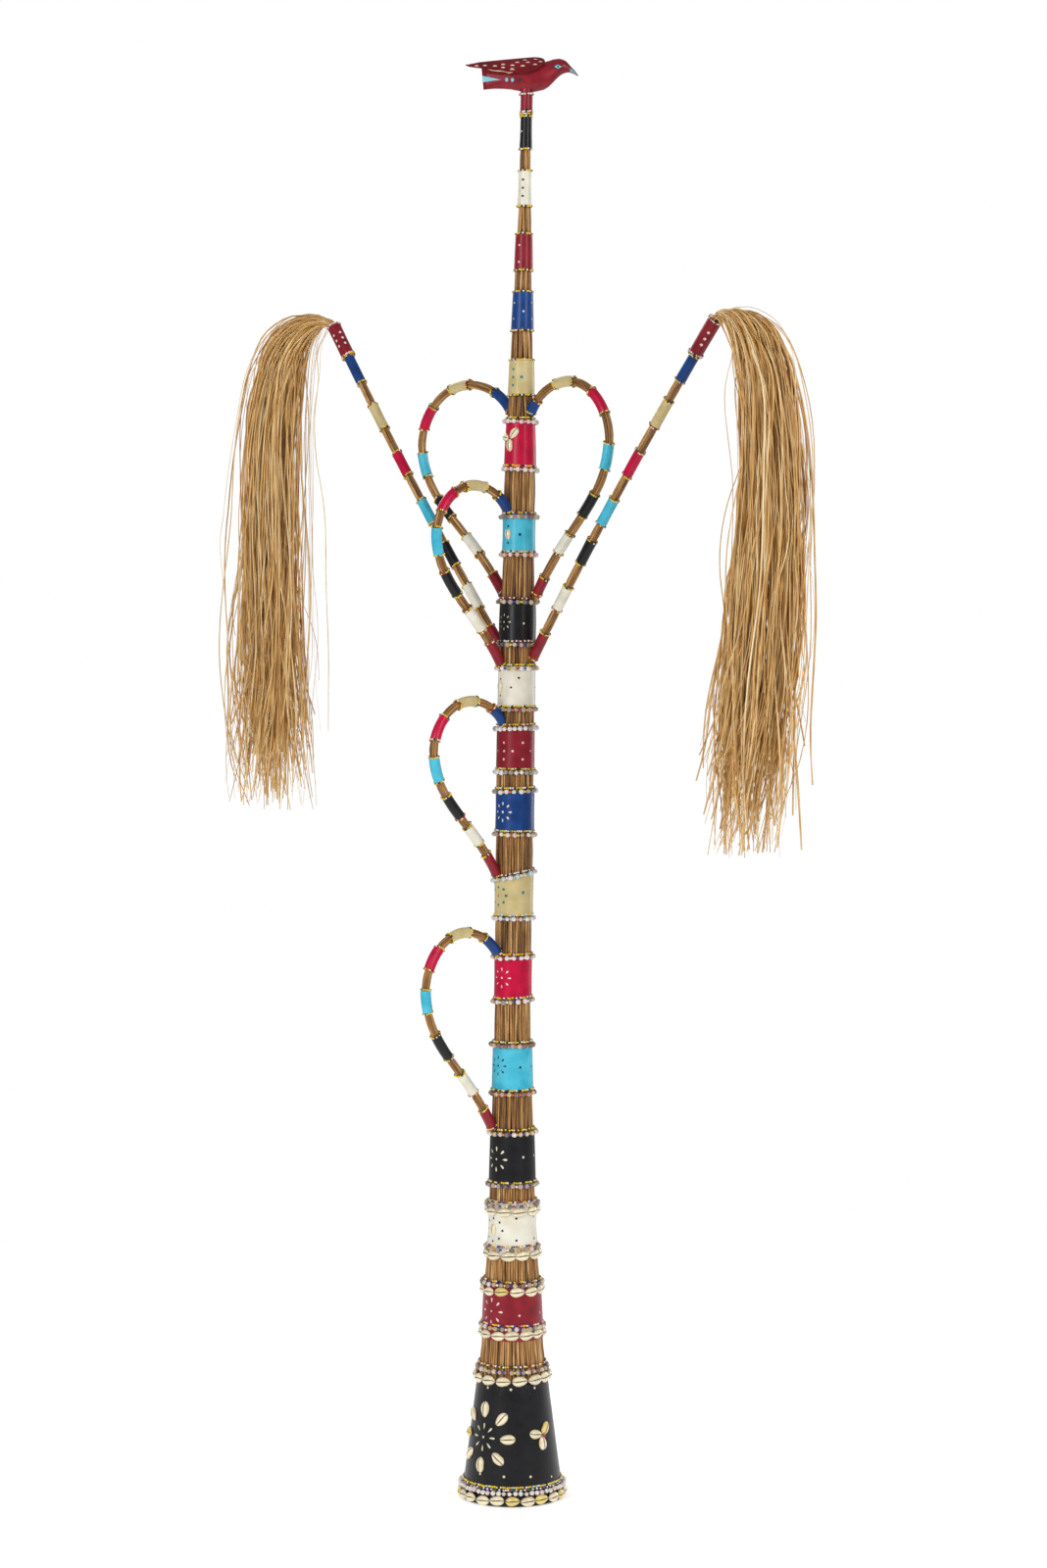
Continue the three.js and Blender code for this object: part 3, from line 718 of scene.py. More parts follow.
# The flower at the back is turned so that none of it shows at the edge of the front
SKIRT_FLOWERS, FLOWER_HEIGHT = (math.radians(-88), math.radians(118)), 84.5
SKIRT_DOT = 3.6
skirt_marks = dots([-87.5 + 40.5 * k for k in range(9)], [147], SKIRT_DOT)
for centre in SKIRT_FLOWERS:
    skirt_marks += flower(centre, FLOWER_HEIGHT, 18, 9, 3.3, SKIRT_DOT)
for angle, z in ((-88, 38), (-55, 38), (-22, 37), (11, 32), (44, 34)):
    skirt_marks += dots((angle, angle + 180), [z], SKIRT_DOT)
leather_sleeve(
    "leather_foot_skirt", 0.3, SKIRT_TOP, skirt_radius, 96, skirt_marks, "black", "pale", "foot_skirt"
)
low, high = NECK_LOW + 1, NECK_HIGH - 0.5
leather_sleeve("leather_neck_sleeve", low, high, lambda z: 7.5, 32, [], "dark_red", "pale", "neck_sleeve")

# %% [markdown]
# ## Beads, seeds and shells
# Three things are strung: glass seed beads of 2.6 mm, hard matt seeds of 6 to 7 mm, and cowries of
# 20 mm that lie with their slit outwards. Glass is smooth and bright, seeds are dull and streaked,
# and a cowrie is like glazed china: cream, browner beside its slit, with painted shade in the slit
# and down its sides. Each copy carries its own colour.


# %% Materials of the strings
def dyed_by_copy(name, roughness, coat, strength, per_metre, darker):
    """Takes its colour from the copy and darkens it in patches."""
    material, shader = surface(name, {"Roughness": roughness, "Coat Weight": coat, "Coat Roughness": 0.08})
    colour = add(material, "Attribute", {}, attribute_name="dye").outputs["Color"]
    place = add(material, "TexCoord", {}).outputs["Object"]
    patches = add(material, "TexNoise", {"Vector": place, "Scale": per_metre, "Detail": 3.0}).outputs[0]
    shade = add(material, "MapRange", {"Value": patches, "From Min": 0.4, "From Max": 0.75, "To Max": darker})
    mixed = {0: shade.outputs[0], 6: colour, 7: linear("#3d3128")}
    dull = add(material, "Mix", mixed, data_type="RGBA").outputs[2]
    bump = add(material, "Bump", {"Height": patches, "Strength": strength, "Distance": 0.0002}).outputs[0]
    wire(material, shader, {"Base Color": dull, "Normal": bump})
    return material


STRING_MATERIALS = [
    dyed_by_copy("glass_seed_bead", 0.14, 0.5, 0.05, 900.0, 0.12),
    dyed_by_copy("hard_matt_seed", 0.42, 0.1, 0.5, 700.0, 0.5),
    dyed_by_copy("cowrie_shell", 0.22, 0.4, 0.15, 260.0, 0.1),
    dyed_by_copy("waxed_thread", 0.6, 0.0, 0.3, 1500.0, 0.3),
]
# Their places in that list
GLASS, SEED, SHELL, THREAD = range(4)
COLOURS = {
    key: np.array(linear(colour))
    for key, colour in {
        # Glass
        "Y": "#f2cd12", "W": "#f4efe4", "K": "#1b191b", "R": "#b21f2c", "C": "#e4614a", "N": "#262f98",
        "L": "#8cc8dc", "P": "#e6a3b0", "G": "#2e7f50", "O": "#e2942c",
        # Seeds
        "w": "#f1ebe6", "g": "#a79f96", "d": "#7d736a", "t": "#dcc7a6", "p": "#e6d3cf", "b": "#bfa896",
        "s": "#cfdfe2",
        # Shells: cream, yellow, the slit in painted shade, browner next to the slit, painted shade on the
        # sides
        "c": "#f6eac8", "y": "#ecd680", "k": "#4f3524", "e": "#94664a", "h": "#d2b478",
    }.items()
}
print(len(COLOURS), "colours of beads, seeds and shells")

# %% The bead and the seed
BEAD_RADIUS, SEED_RADIUS = 1.42, 3.2
BEAD = shape_of(turned([(0, -0.8), (0.72, -0.8), (1, -0.3), (1, 0.3), (0.72, 0.8), (0, 0.8)], 7))
ball = bmesh.new()
bmesh.ops.create_icosphere(ball, subdivisions=2, radius=1)
BALL = shape_of(ball)

# %% The cowrie
# How far round each lengthwise row of a cowrie is, from the slit to the back. They crowd towards the
# slit, so that its lips are fine. The first three are sunk or raised by LIP_HEIGHTS.
COWRIE_ROWS = (0, 0.045, 0.14, 0.34, 0.72, 1.2, 1.75, 2.3, 2.75, math.pi)
LIP_HEIGHTS = (-0.17, -0.07, 0.02)


def slit_at(x):
    """The slit bends a little to one side and back."""
    return 0.05 * np.sin(2.2 * x)


def cowrie():
    """A cowrie of length 2: X along it, Z out of its slit. Its back is cut flat, as for sewing."""
    bm = bmesh.new()
    bmesh.ops.create_uvsphere(
        bm, u_segments=18, v_segments=9, radius=1, matrix=Matrix.Rotation(math.pi / 2, 4, "Y")
    )
    for vert in bm.verts:
        x, y, z = vert.co
        width = math.hypot(y, z)
        row = round(abs(math.atan2(y, z)) / math.pi * 9)
        turn = math.copysign(COWRIE_ROWS[row], y)
        belly = (1 + 0.14 * x) * (1 - 0.1 * x * x)
        y, z = math.sin(turn) * width**1.15 * 0.66 * belly, math.cos(turn) * width
        height = 0.44 * z if z > 0 else 0.16 * z
        if width > 0.15 and row < len(LIP_HEIGHTS):
            height += LIP_HEIGHTS[row] * width
        vert.co = (x, y + (slit_at(x) if z > 0 else 0), height)
    bmesh.ops.recalc_face_normals(bm, faces=bm.faces)
    return shape_of(bm)


COWRIE = cowrie()
print("cowrie of", len(COWRIE[0]), "points")


# %% Places on a string
def string_frames(angles, radius, z, tilt=0.0):
    """Matrices (out, up, along as columns) and points round the stem at a height, in mm.

    tilt lifts the string towards the camera's right by that many mm for each mm.
    """
    out = outwards(angles)
    up = np.broadcast_to([0.0, 0.0, 1.0], out.shape)
    points = out * radius
    points[:, 2] = z + tilt * (points[:, 0] + points[:, 1]) * math.sqrt(0.5)
    points[:, 0] += lean_at(z)
    return np.stack([out, up, outwards(angles + math.pi / 2)], axis=2), points


def copies(shape, turns, points, scale):
    """The shape scaled, turned by each matrix and moved to each point."""
    scaled = shape[0] * np.broadcast_to(scale, (len(points), 3))[:, None]
    return np.einsum("nij,nkj->nki", turns, scaled) + points[:, None]


def colours_of(letters, count, rng):
    """Colours that follow a run of letters, some of them left out of turn."""
    start = rng.integers(len(letters))
    picks = [
        letters[(start + i) % len(letters)] if rng.random() > 0.08 else letters[rng.integers(len(letters))]
        for i in range(count)
    ]
    return np.array([COLOURS[letter] for letter in picks])


# %% A thread and a row of glass beads on it
THREAD_RINGS, THREAD_RADIUS = 49, 0.4
THREAD_SHAPE = shape_of(turned([(1, i) for i in range(THREAD_RINGS)], 5))


def thread_row(heap, radius, z, tilt):
    """The thread that the beads sit on."""
    turns, points = string_frames(np.linspace(0, math.tau, THREAD_RINGS), radius, z, tilt)
    x, y, ring = THREAD_SHAPE[0].T
    ring = np.rint(ring).astype(int)
    place = points[ring] + turns[ring, :, 0] * x[:, None] * THREAD_RADIUS
    place[:, 2] += y * THREAD_RADIUS
    heap.add(THREAD_SHAPE, place[None], THREAD, dye=np.array([COLOURS["b"]]))


def bead_row(heap, radius, z, letters, rng, tilt=0.0, size=BEAD_RADIUS):
    count = round(math.tau * radius / (1.92 * size))
    angles = all_round(rng, count, 0.12) + rng.uniform(0, 6)
    turns, points = string_frames(angles, radius, z, tilt)
    points[:, 2] += rng.normal(0, 0.22, count)
    places = copies(BEAD, turns, points, size * rng.uniform(0.9, 1.08, (count, 1)))
    heap.add(BEAD, places, GLASS, dye=colours_of(letters, count, rng))
    thread_row(heap, radius, z, tilt)


# %% A row of seeds with small beads between them
SEED_PITCH = 9.3


def seed_row(heap, radius, z, palette, spacers, rng, tilt=0.0, pitch=SEED_PITCH):
    count = round(math.tau * radius / pitch)
    angles = all_round(rng, count, 0.06) + rng.uniform(0, 6)
    turns, points = string_frames(angles, radius, z, tilt)
    points[:, 2] += rng.normal(0, 0.35, count)
    size = SEED_RADIUS * rng.uniform(0.84, 1.08, (count, 1)) * np.ones((1, 3))
    size[:, 2] *= rng.uniform(0.95, 1.12, count)
    places = copies(BALL, turns, points, size)
    places += rng.normal(0, 0.07, places.shape)
    heap.add(BALL, places, SEED, dye=colours_of(palette, count, rng))
    if spacers:
        turns, points = string_frames(angles + math.pi / count, radius, z, tilt)
        places = copies(BEAD, turns, points, BEAD_RADIUS * np.array([1.15, 1.15, 1.25]))
        heap.add(BEAD, places, GLASS, dye=colours_of(spacers, count, rng))
    thread_row(heap, radius, z, tilt)


# %% Cowries, laid on a surface with their slit outwards
SHELL_LENGTH = 19.5


def cowrie_copies(heap, turns, points, lengths, rng, yellow=0.15):
    """turns has as columns the way along the shell, across it and out of it."""
    count = len(points)
    tone = rng.random((count, 1, 1)) < yellow
    base = np.where(tone, COLOURS["y"], COLOURS["c"]) * rng.uniform(0.9, 1.05, (count, 1, 1))
    x, y, z = COWRIE[0].T
    from_slit = np.abs(y - slit_at(x))
    # The slit is painted dark: painted shade for the shell's opening, which is only a shallow groove here
    slit = ((from_slit < 0.045) & (z > 0.02))[None, :, None]
    # Browner next to the slit; the sides are painted shade, darker and yellower where the shell turns away
    lip = (0.45 * np.clip(1 - from_slit / 0.17, 0, 1) * (z > 0.02))[None, :, None]
    side = (0.5 * np.clip((np.abs(y) - 0.34) / 0.24, 0, 1))[None, :, None]
    colour = base * (1 - lip - side) + COLOURS["e"] * lip + COLOURS["h"] * side
    colour = np.where(slit, COLOURS["k"], colour)
    colour[..., 3] = 1
    heap.add(COWRIE, copies(COWRIE, turns, points, np.reshape(lengths, (-1, 1)) / 2), SHELL, dye=colour)


def cowrie_row(heap, radius, z, rng, slope=0.0, length=SHELL_LENGTH):
    """Cowries end to end round the stem."""
    count = round(math.tau * radius / length)
    angles = all_round(rng, count, 0.05) + rng.uniform(0, 6)
    out = unit(outwards(angles, -slope))
    along = outwards(angles + math.pi / 2) * np.where(rng.random(count) < 0.5, 1, -1)[:, None]
    turns = np.stack([along, np.cross(out, along), out], axis=2)
    _, points = string_frames(angles, radius, z)
    points[:, 2] += rng.normal(0, 0.5, count)
    cowrie_copies(heap, turns, points, length * rng.uniform(0.94, 1.06, count), rng)


# %% [markdown]
# ## The strings of the stem
# Each band from the foot to the pink one at the heart has a string at both edges: a row of glass
# beads and, just below it, a row of seeds. The lowest four also carry cowries. The heights were
# measured at the front of each row, and the letters give the order of the colours.

# %% Heights and colours of the strings
# Band, glass row, seed row, cowrie row or None, order of glass beads, seeds, spacers, tilt
STRINGS = [
    ("01_lower", 227.1, 222.6, 214.1, "YWNKRPY", "bgtpb", "NRYGW", 0),
    ("01_upper", 282.8, 278.6, 269.8, "YWKNGRY", "bgdtw", "YNRW", 0),
    ("02_lower", 327.7, 323.8, 316.1, "YWNKROW", "bgpd", "NWYO", 0),
    ("02_upper", 384.4, 379.7, 371.8, "YYKWNKR", "gbtd", "NWR", 0),
    ("03_lower", 409.3, 404.7, None, "YYYWKK", "bgdb", "NNW", 0.01),
    ("03_upper", 476.9, 471.4, None, "YYWKYK", "ttdw", "NO", 0.02),
    ("04_lower", 527.3, 522.2, None, "YYYWKK", "tdtb", "CC", 0),
    ("04_upper", 588.9, 584, None, "YYYKWW", "dbtd", "CC", 0),
    ("05_lower", 645.7, 640.7, None, "YYRWNY", "ttwg", "NRWW", 0),
    ("05_upper", 701.7, 697, None, "YYYKRW", "wtww", "WRWN", 0),
    ("06_lower", 751.9, 746.8, None, "YYYWLW", "wwpw", "LPL", 0),
    ("06_upper", 805.4, 800.8, None, "WRWRWK", "stsw", "LWLW", 0.2),
    ("07_lower", 858.9, 854, None, "YYYWWG", "pbwp", "YCYR", 0),
    ("07_upper", 913.9, 909.2, None, "YYYWWK", "wbgw", "YCN", 0),
    ("08_lower", 938.2, 933.7, None, "YYWYYK", "gwwg", "", 0),
    ("08_upper", 994.5, 989.2, None, "YYYNWR", "wwgw", "", 0),
    ("09_lower", 1017.8, 1013.2, None, "YYYWWK", "gwgb", "YCR", 0),
    ("09_upper", 1070.4, 1065.8, None, "YYYWWG", "wgtw", "YRN", 0),
    ("10_lower", 1100.3, 1095.8, None, "KWRWKW", "dbtb", "NYN", 0),
    ("10_upper", 1154.6, 1150, None, "KWRWKR", "gdtb", "NNY", 0),
    ("11_lower", 1213.8, 1209.5, None, "YWKWYR", "wtpt", "CCR", 0),
    ("11_upper", 1262.4, 1257.4, None, "YYKWNR", "gdtb", "CRC", 0),
    ("12_lower", 1321.7, 1317, None, "YYYKKW", "wwpw", "PWP", -0.05),
    ("12_upper", 1382.3, 1377.4, None, "YYYKYW", "wpww", "PWP", -0.03),
]
# A lower string lies on the ribs, LIFT off them, and an upper one on the skin that runs on under it
LIFT, BEADS_OUT, SEEDS_OUT, SHELLS_OUT = 0.4, 1.7, SEED_RADIUS * 0.82, 1.2
CLOSE_PITCH = 7.0
for order, (label, glass, seeds, shells, letters, palette, spacers, tilt) in enumerate(STRINGS):
    rng = np.random.default_rng(100 + order)
    heap = Heap()
    lift = SKIN_OVER_RIBS if label.endswith("upper") else LIFT
    tilt = tilt or rng.normal(0, 0.015)
    bead_row(heap, rib_radius(glass) + BEADS_OUT, glass, letters, rng, tilt)
    pitch = SEED_PITCH if spacers else CLOSE_PITCH
    seed_row(heap, rib_radius(seeds) + lift + SEEDS_OUT, seeds, palette, spacers, rng, tilt, pitch)
    if shells:
        slope = slope_of(rib_radius, shells, 9)
        cowrie_row(heap, rib_radius(shells) + lift + SHELLS_OUT, shells, rng, slope)
    piece("strung_" + label, heap, STRING_MATERIALS, "beads", "bead_string_" + label)
print(len(STRINGS), "strings,", made[-1])

# %% The strings of the foot
rng = np.random.default_rng(300)
heap = Heap()
bead_row(heap, rib_radius(175) + 1.8, 175, "KYWNYKWYR", rng)
seed_row(heap, rib_radius(168.2) + 3.6, 168.2, "bgtbdp", "NRYGW", rng, 0, 7.7)
cowrie_row(heap, skirt_radius(156) + 1.4, 157.4, rng, -0.16, 20.5)
piece("strung_skirt_top", heap, STRING_MATERIALS, "beads", "skirt_shell_string")
heap = Heap()
bead_row(heap, skirt_radius(24.6) + 1.4, 24.6, "YYYYKWYYYYLW", rng)
bead_row(heap, skirt_radius(21.8) + BEADS_OUT, 21.6, "NWRGKWKW", rng)
seed_row(heap, skirt_radius(17.4) + 4.2, 17.8, "pwwpww", "", rng, 0, 7.2)
cowrie_row(heap, skirt_radius(7) + 2.6, 7.7, rng, -0.14)
piece("strung_foot", heap, STRING_MATERIALS, "beads", "foot_shell_string")

# %% Strings of the upper stem and the neck
FINE_BEAD, FINE_GAP = 1.3, 1.4
# Height, radius and order of the beads
fine_strings = [
    (z, rib_radius(z) + 1.6, "YYYKWK")
    for low, high in BANDS[12:16] for z in (low - FINE_GAP, high + FINE_GAP)
]
fine_strings += [
    (BANDS[16][0] - FINE_GAP, rib_radius(BANDS[16][0] - FINE_GAP) + 1.5, "YYYWKW"),
    (1760.4, 7.3, "YYYYWK"), (1763.4, 7.5, "YYWYYK"), (1766.4, 8.2, "WWKWWR"), (1788, 8.6, "WWWKWR"),
]
heap = Heap()
for z, radius, letters in fine_strings:
    bead_row(heap, radius, z, letters, rng, 0, FINE_BEAD)
piece("strung_upper_stem", heap, STRING_MATERIALS, "beads")
print(made[-3:])

# %% [markdown]
# ## Cowries sewn on the leather
# On the skirt eight cowries stand round the cut flower like petals, and a trefoil of three sits at
# the side. Smaller ones mark the centre of four bands. Each lies flat on the skin, so it is placed
# by its angle and height and turned about the line that points out of the leather.


# %% Place single cowries
# How far a shell stands off the leather, as a share of its length
SHELL_GAP = 0.035


def sewn_shells(heap, radius_at, shells, rng, yellow=0.1):
    """shells are (angle of the motif, height, distance from its middle, turn, length)."""
    turns, points, lengths = [], [], []
    for angle, z, reach, turn, length in shells:
        across, rise = -math.sin(turn) * reach, math.cos(turn) * reach
        radius = radius_at(z + rise)
        slope = slope_of(radius_at, z + rise, 5)
        place = on_surface(radius + length * SHELL_GAP, slope, angle + across / radius, z + rise, turn)
        side, up, out = (np.array(place.col[i][:3]) for i in range(3))
        turns.append(np.stack([up, -side, out], axis=1))
        points.append(np.array(place.translation) + [lean_at(z), 0, 0])
        lengths.append(length)
    cowrie_copies(heap, np.array(turns), np.array(points), lengths, rng, yellow)


def trefoil(angle, z, length):
    """Three shells that meet in a point: one down, one to the left, one up to the right."""
    return [(angle, z, length * 0.52, math.radians(turn), length) for turn in (180, 78, -42)]


# %% Sew them on
rng = np.random.default_rng(41)
heap = Heap()
for centre in SKIRT_FLOWERS:
    ring = [(centre, FLOWER_HEIGHT, 35, k * math.tau / 8, 20.5) for k in range(8)]
    sewn_shells(heap, skirt_radius, ring, rng, 0.3)
# A trefoil on either side of the skirt, with a red bead where its shells meet
TREFOIL_HEIGHT = 87
for centre in (math.radians(-1), math.radians(179)):
    sewn_shells(heap, skirt_radius, trefoil(centre, TREFOIL_HEIGHT, 19), rng)
    place = on_surface(skirt_radius(TREFOIL_HEIGHT) + 4.4, -0.14, centre, TREFOIL_HEIGHT)
    red = copies(BALL, np.array(place.to_3x3())[None], np.array([place.translation]), 2.3)
    heap.add(BALL, red, GLASS, dye=np.array([COLOURS["R"]]))
# Bands with one cowrie on the front and one on the back, and its turn in degrees. Band 12 has trefoils.
for index, turn in ((1, -5), (8, -14), (10, 4), (11, 3)):
    z = sum(BANDS[index]) / 2
    for centre in (FRONT, BACK):
        centre += math.radians(turn)
        shells = [(centre, z, 0, 0.0, 14.5)]
        if index == 11:
            shells = trefoil(centre + (0.5 if centre > 0 else 0), z + 8, 16.4)
        sewn_shells(heap, band_radius, shells, rng)
piece("sewn_cowries", heap, STRING_MATERIALS, "beads")
print(made[-1])

# %% [markdown]
# ## Loops and arms
# Each limb is eight ribs round a ninth, bent over steam and bound with short cuffs. Its middle line
# is the solid's: a long leg that swings out and a round head for a loop, and one slow bow for an
# arm. Points on a limb are given by how far they lie towards its outside, across its plane and
# along it, and one function sets them in place.

# %% The middle line of a limb
LOOPS = {
    # direction, start, height, reach, rise, sideways set of the lower end
    "front_loop_lower": (-90, 28, 478, 123, 255, -8),
    "front_loop_middle": (-90, 23, 801, 118, 224, -8),
    "front_loop_upper": (-90, 21, 1068, 120, 228, -8),
    "heart_loop_left": (180, 20, 1158, 158, 271, 7),
    "heart_loop_right": (0, 23, 1158, 132, 267, 7),
}
ARMS = {
    # direction, start, tip, bow
    "arm_left": (180, (20, 1090), (346, 1518), -5),
    "arm_right": (0, (20, 1077), (336, 1486), 6),
}
ARM_AXIS_HEIGHT, ARM_ASIDE = 1090, 7
LIMB_RADIUS, CUFF_RADIUS, END_CUFF_RADIUS, END_CUFF = 5.3, 6.3, 8.5, 49


def curve_through(controls, steps):
    """Points of the Bezier curve with those controls, by halving the polygon's sides step by step."""
    t = np.linspace(0, 1, steps)[:, None, None]
    points = np.broadcast_to(np.array(controls, float), (steps, len(controls), 2))
    while points.shape[1] > 1:
        points = points[:, :-1] * (1 - t) + points[:, 1:] * t
    return points[:, 0]


def loop_line(start, height, reach, rise):
    leg = curve_through([(0, 0), (0.42, 0.335), (0.95, 0.43), (1, 0.72)], 240)
    turn = np.radians(np.linspace(0, 150, 241)[1:])
    half = np.where(turn < math.pi / 2, 0.53, 0.585)
    head = np.stack([0.47 + half * np.cos(turn), 0.72 + 0.28 * np.sin(turn)], axis=1)
    return np.concatenate([leg, head]) * (reach, rise) + (start, height)


def arm_line(start, tip, bow):
    along = np.array(tip) - start
    normal = np.array([-along[1], along[0]]) / np.linalg.norm(along)
    middle = (np.array(start) + tip) / 2 + 2 * bow * normal
    return curve_through([start, middle, tip], 400)


# %% The frame of a limb
class Limb:
    """A limb's middle line in its own upright plane."""

    def __init__(self, line, azimuth, axis_x, aside):
        self.line = line
        steps = np.linalg.norm(np.diff(line, axis=0), axis=1)
        self.along = np.concatenate([[0], np.cumsum(steps)])
        self.length = self.along[-1]
        self.tangents = unit(np.gradient(line, axis=0))
        self.out, self.across = outwards(np.radians([azimuth, azimuth + 90]))
        self.axis_x, self.aside = axis_x, aside

    def place(self, points):
        """(towards the outside, across, along) in mm to places in the frame.

        The limb runs on straight past both of its ends.
        """
        towards, across, along = np.moveaxis(np.asarray(points, float), -1, 0)
        inside = np.clip(along, 0, self.length)
        centre = np.stack([np.interp(inside, self.along, self.line[:, i]) for i in (0, 1)], axis=-1)
        tangent = np.stack([np.interp(inside, self.along, self.tangents[:, i]) for i in (0, 1)], axis=-1)
        centre = centre + tangent * (along - inside)[..., None]
        low, high = self.line[0, 1], self.line[:, 1].max()
        shift = self.aside * (1 - (centre[..., 1] - low) / (high - low)) + across
        reach = centre[..., 0] + towards * tangent[..., 1]
        height = centre[..., 1] - towards * tangent[..., 0]
        place = reach[..., None] * self.out + shift[..., None] * self.across
        place[..., 0] += self.axis_x
        place[..., 2] += height
        return place


limbs = {}
for name, (azimuth, start, height, reach, rise, aside) in LOOPS.items():
    limbs[name] = Limb(loop_line(start, height, reach, rise), azimuth, lean_at(height + rise / 2), aside)
for name, (azimuth, start, tip, bow) in ARMS.items():
    limbs[name] = Limb(arm_line(start, tip, bow), azimuth, lean_at(ARM_AXIS_HEIGHT), ARM_ASIDE)
print({name: round(limb.length) for name, limb in limbs.items()}, "mm long")


# %% Where the cuffs sit on each limb
# From and to, in mm along the limb, in the order of the dyes
CUFFS = {
    "front_loop_lower": [(0, 31), (61, 97), (128, 166), (199, 228), (254, 284), (307, 340), (368, 400)],
    "front_loop_middle": [(2, 36), (57, 87), (106, 142), (166, 197), (219, 250), (279, 309), (340, 370)],
    "front_loop_upper": [(5, 38), (60, 97), (124, 159), (183, 216), (239, 271), (290, 325), (350, 378)],
    "heart_loop_left": [(0, 34), (71, 104), (142, 176), (214, 246), (279, 311), (352, 384), (434, 472)],
    "heart_loop_right": [(0, 27), (68, 98), (131, 164), (200, 232), (271, 305), (340, 371), (410, 431)],
    "arm_left": [(0, 35), (67, 104), (138, 173), (208, 245), (288, 324), (366, 404), (443, 487)],
    "arm_right": [(3, 41), (79, 112), (150, 184), (210, 247), (284, 320), (360, 397), (428, 465)],
}

# %% Ribs of a limb
LIMB_RIBS, RIB_END, RING_PITCH = 8, 7, 7
LIMB_RIB_RADIUS, CORE_RADIUS = 1.75, 3.2
# A rib is pressed in under the cuffs, and swells again over this length beside them
PRESSED, SWELL_LENGTH = 0.35, 9


def limb_ribs(name, rng):
    """Eight ribs round a ninth."""
    limb = limbs[name]
    last = limb.length - (END_CUFF / 2 if name in ARMS else 3)
    rings = round((last + RIB_END) / RING_PITCH)
    along = np.linspace(-RIB_END, last, rings)
    bound = np.zeros(rings)
    for low, high in CUFFS[name]:
        beside = np.maximum(low - along, along - high) / SWELL_LENGTH
        bound = np.maximum(bound, np.clip(1 - beside, 0, 1))
    angle = all_round(rng, LIMB_RIBS, 0.15)
    twist = rng.uniform(-0.5, 0.5)
    angles = angle[:, None] + twist * along / limb.length
    swell = (1 - bound) * rng.uniform(-0.1, 0.55, (LIMB_RIBS, 1)) - PRESSED * bound
    count = LIMB_RIBS + 1
    lines = np.zeros((count, rings, 3))
    lines[:LIMB_RIBS] = (LIMB_RADIUS - LIMB_RIB_RADIUS + swell)[..., None] * outwards(angles)
    lines[..., 2] = along
    widths = LIMB_RIB_RADIUS * rng.uniform(0.9, 1.08, (count, 1)) * np.ones((1, rings))
    widths[-1] = CORE_RADIUS
    tint = rng.uniform(0.1, 0.9, count)
    # The core sees no light and is darker than any rib
    tint[-1] = -0.4
    heap = Heap()
    add_rods(heap, limb.place(lines), widths, limb.across, rng.uniform(0, 1, count), tint, 6)
    piece(name + "_ribs", heap, [PALM_RIB], "palm_rib", name)


for order, name in enumerate(limbs):
    limb_ribs(name, np.random.default_rng(500 + order))
print(made[-1])


# %% Cuffs of a limb
def limb_cuff(limb, name, low, high, radius, dye, marks, *nodes):
    """A short leather sleeve, made upright and then bent along the limb."""
    uneven = random.Random(name)
    ends = [uneven.uniform(-0.8, 0.8) for _ in range(2)]
    swell = [uneven.uniform(-0.15, 0.25) for _ in range(3)]
    radius_at = lambda z: radius + np.interp((z - low) / (high - low), (0, 0.5, 1), swell)

    def move(co):
        tip = np.interp(co.z, (low, high), (-1, 1))
        slant = (ends[1] if tip > 0 else ends[0]) * abs(tip) * co.x / radius
        # The eight ribs below show as facets
        facet = 1 + 0.018 * math.cos(LIMB_RIBS * math.atan2(co.y, co.x))
        return Vector(limb.place((co.x * facet, co.y * facet, co.z + slant)))

    seam = uneven.uniform(0, math.tau)
    leather_sleeve(name, low, high, radius_at, 32, marks, dye, "bright", *nodes, place=move, seam=seam)


for name, limb in limbs.items():
    for number, (dye, (low, high)) in enumerate(zip(DYES, CUFFS[name])):
        limb_cuff(limb, f"{name}_cuff_{number + 1}_{dye}", low + 0.4, high - 0.4, CUFF_RADIUS, dye, [])
# Where the end cuffs have a row of three dots, in degrees round them
END_DOTS = {"arm_left": (-94, -21, 86, 159), "arm_right": (-47, 133)}
for name, angles in END_DOTS.items():
    end = limbs[name].length
    marks = dots(angles, [end - END_CUFF / 2 + rise for rise in (-8.5, 0.5, 9.5)], 4)
    limb_cuff(
        limbs[name], name + "_leather_end", end - END_CUFF, end, END_CUFF_RADIUS, "dark_red", marks,
        name + "_end_cuff",
    )
print(sum("_cuff_" in name for name, _ in made), "cuffs")


# %% Bead rings at the edges of the cuffs
def limb_ring(heap, limb, along, radius, letters, rng, size=1.2):
    """A ring of glass beads round a limb, a little slanted."""
    count = round(math.tau * radius / (1.95 * size))
    angles = all_round(rng, count, 0.1) + rng.uniform(0, 6)
    slant = rng.normal(0, 0.09, 2)
    ring = radius * outwards(angles)
    ring[:, 2] = along + ring[:, :2] @ slant + rng.normal(0, 0.15, count)
    points = limb.place(ring)
    out = unit(points - limb.place(ring * (0, 0, 1)))
    way = unit(limb.place(ring + 0.5 * outwards(angles + math.pi / 2)) - points)
    turns = np.stack([out, np.cross(way, out), way], axis=2)
    places = copies(BEAD, turns, points, size * rng.uniform(0.9, 1.08, (count, 1)))
    heap.add(BEAD, places, GLASS, dye=colours_of(letters, count, rng))


RING_LETTERS = ["YYYKWK", "YYYYWN", "YYYWKG", "YYKYWR", "RYRYWR", "YYYYKL"]
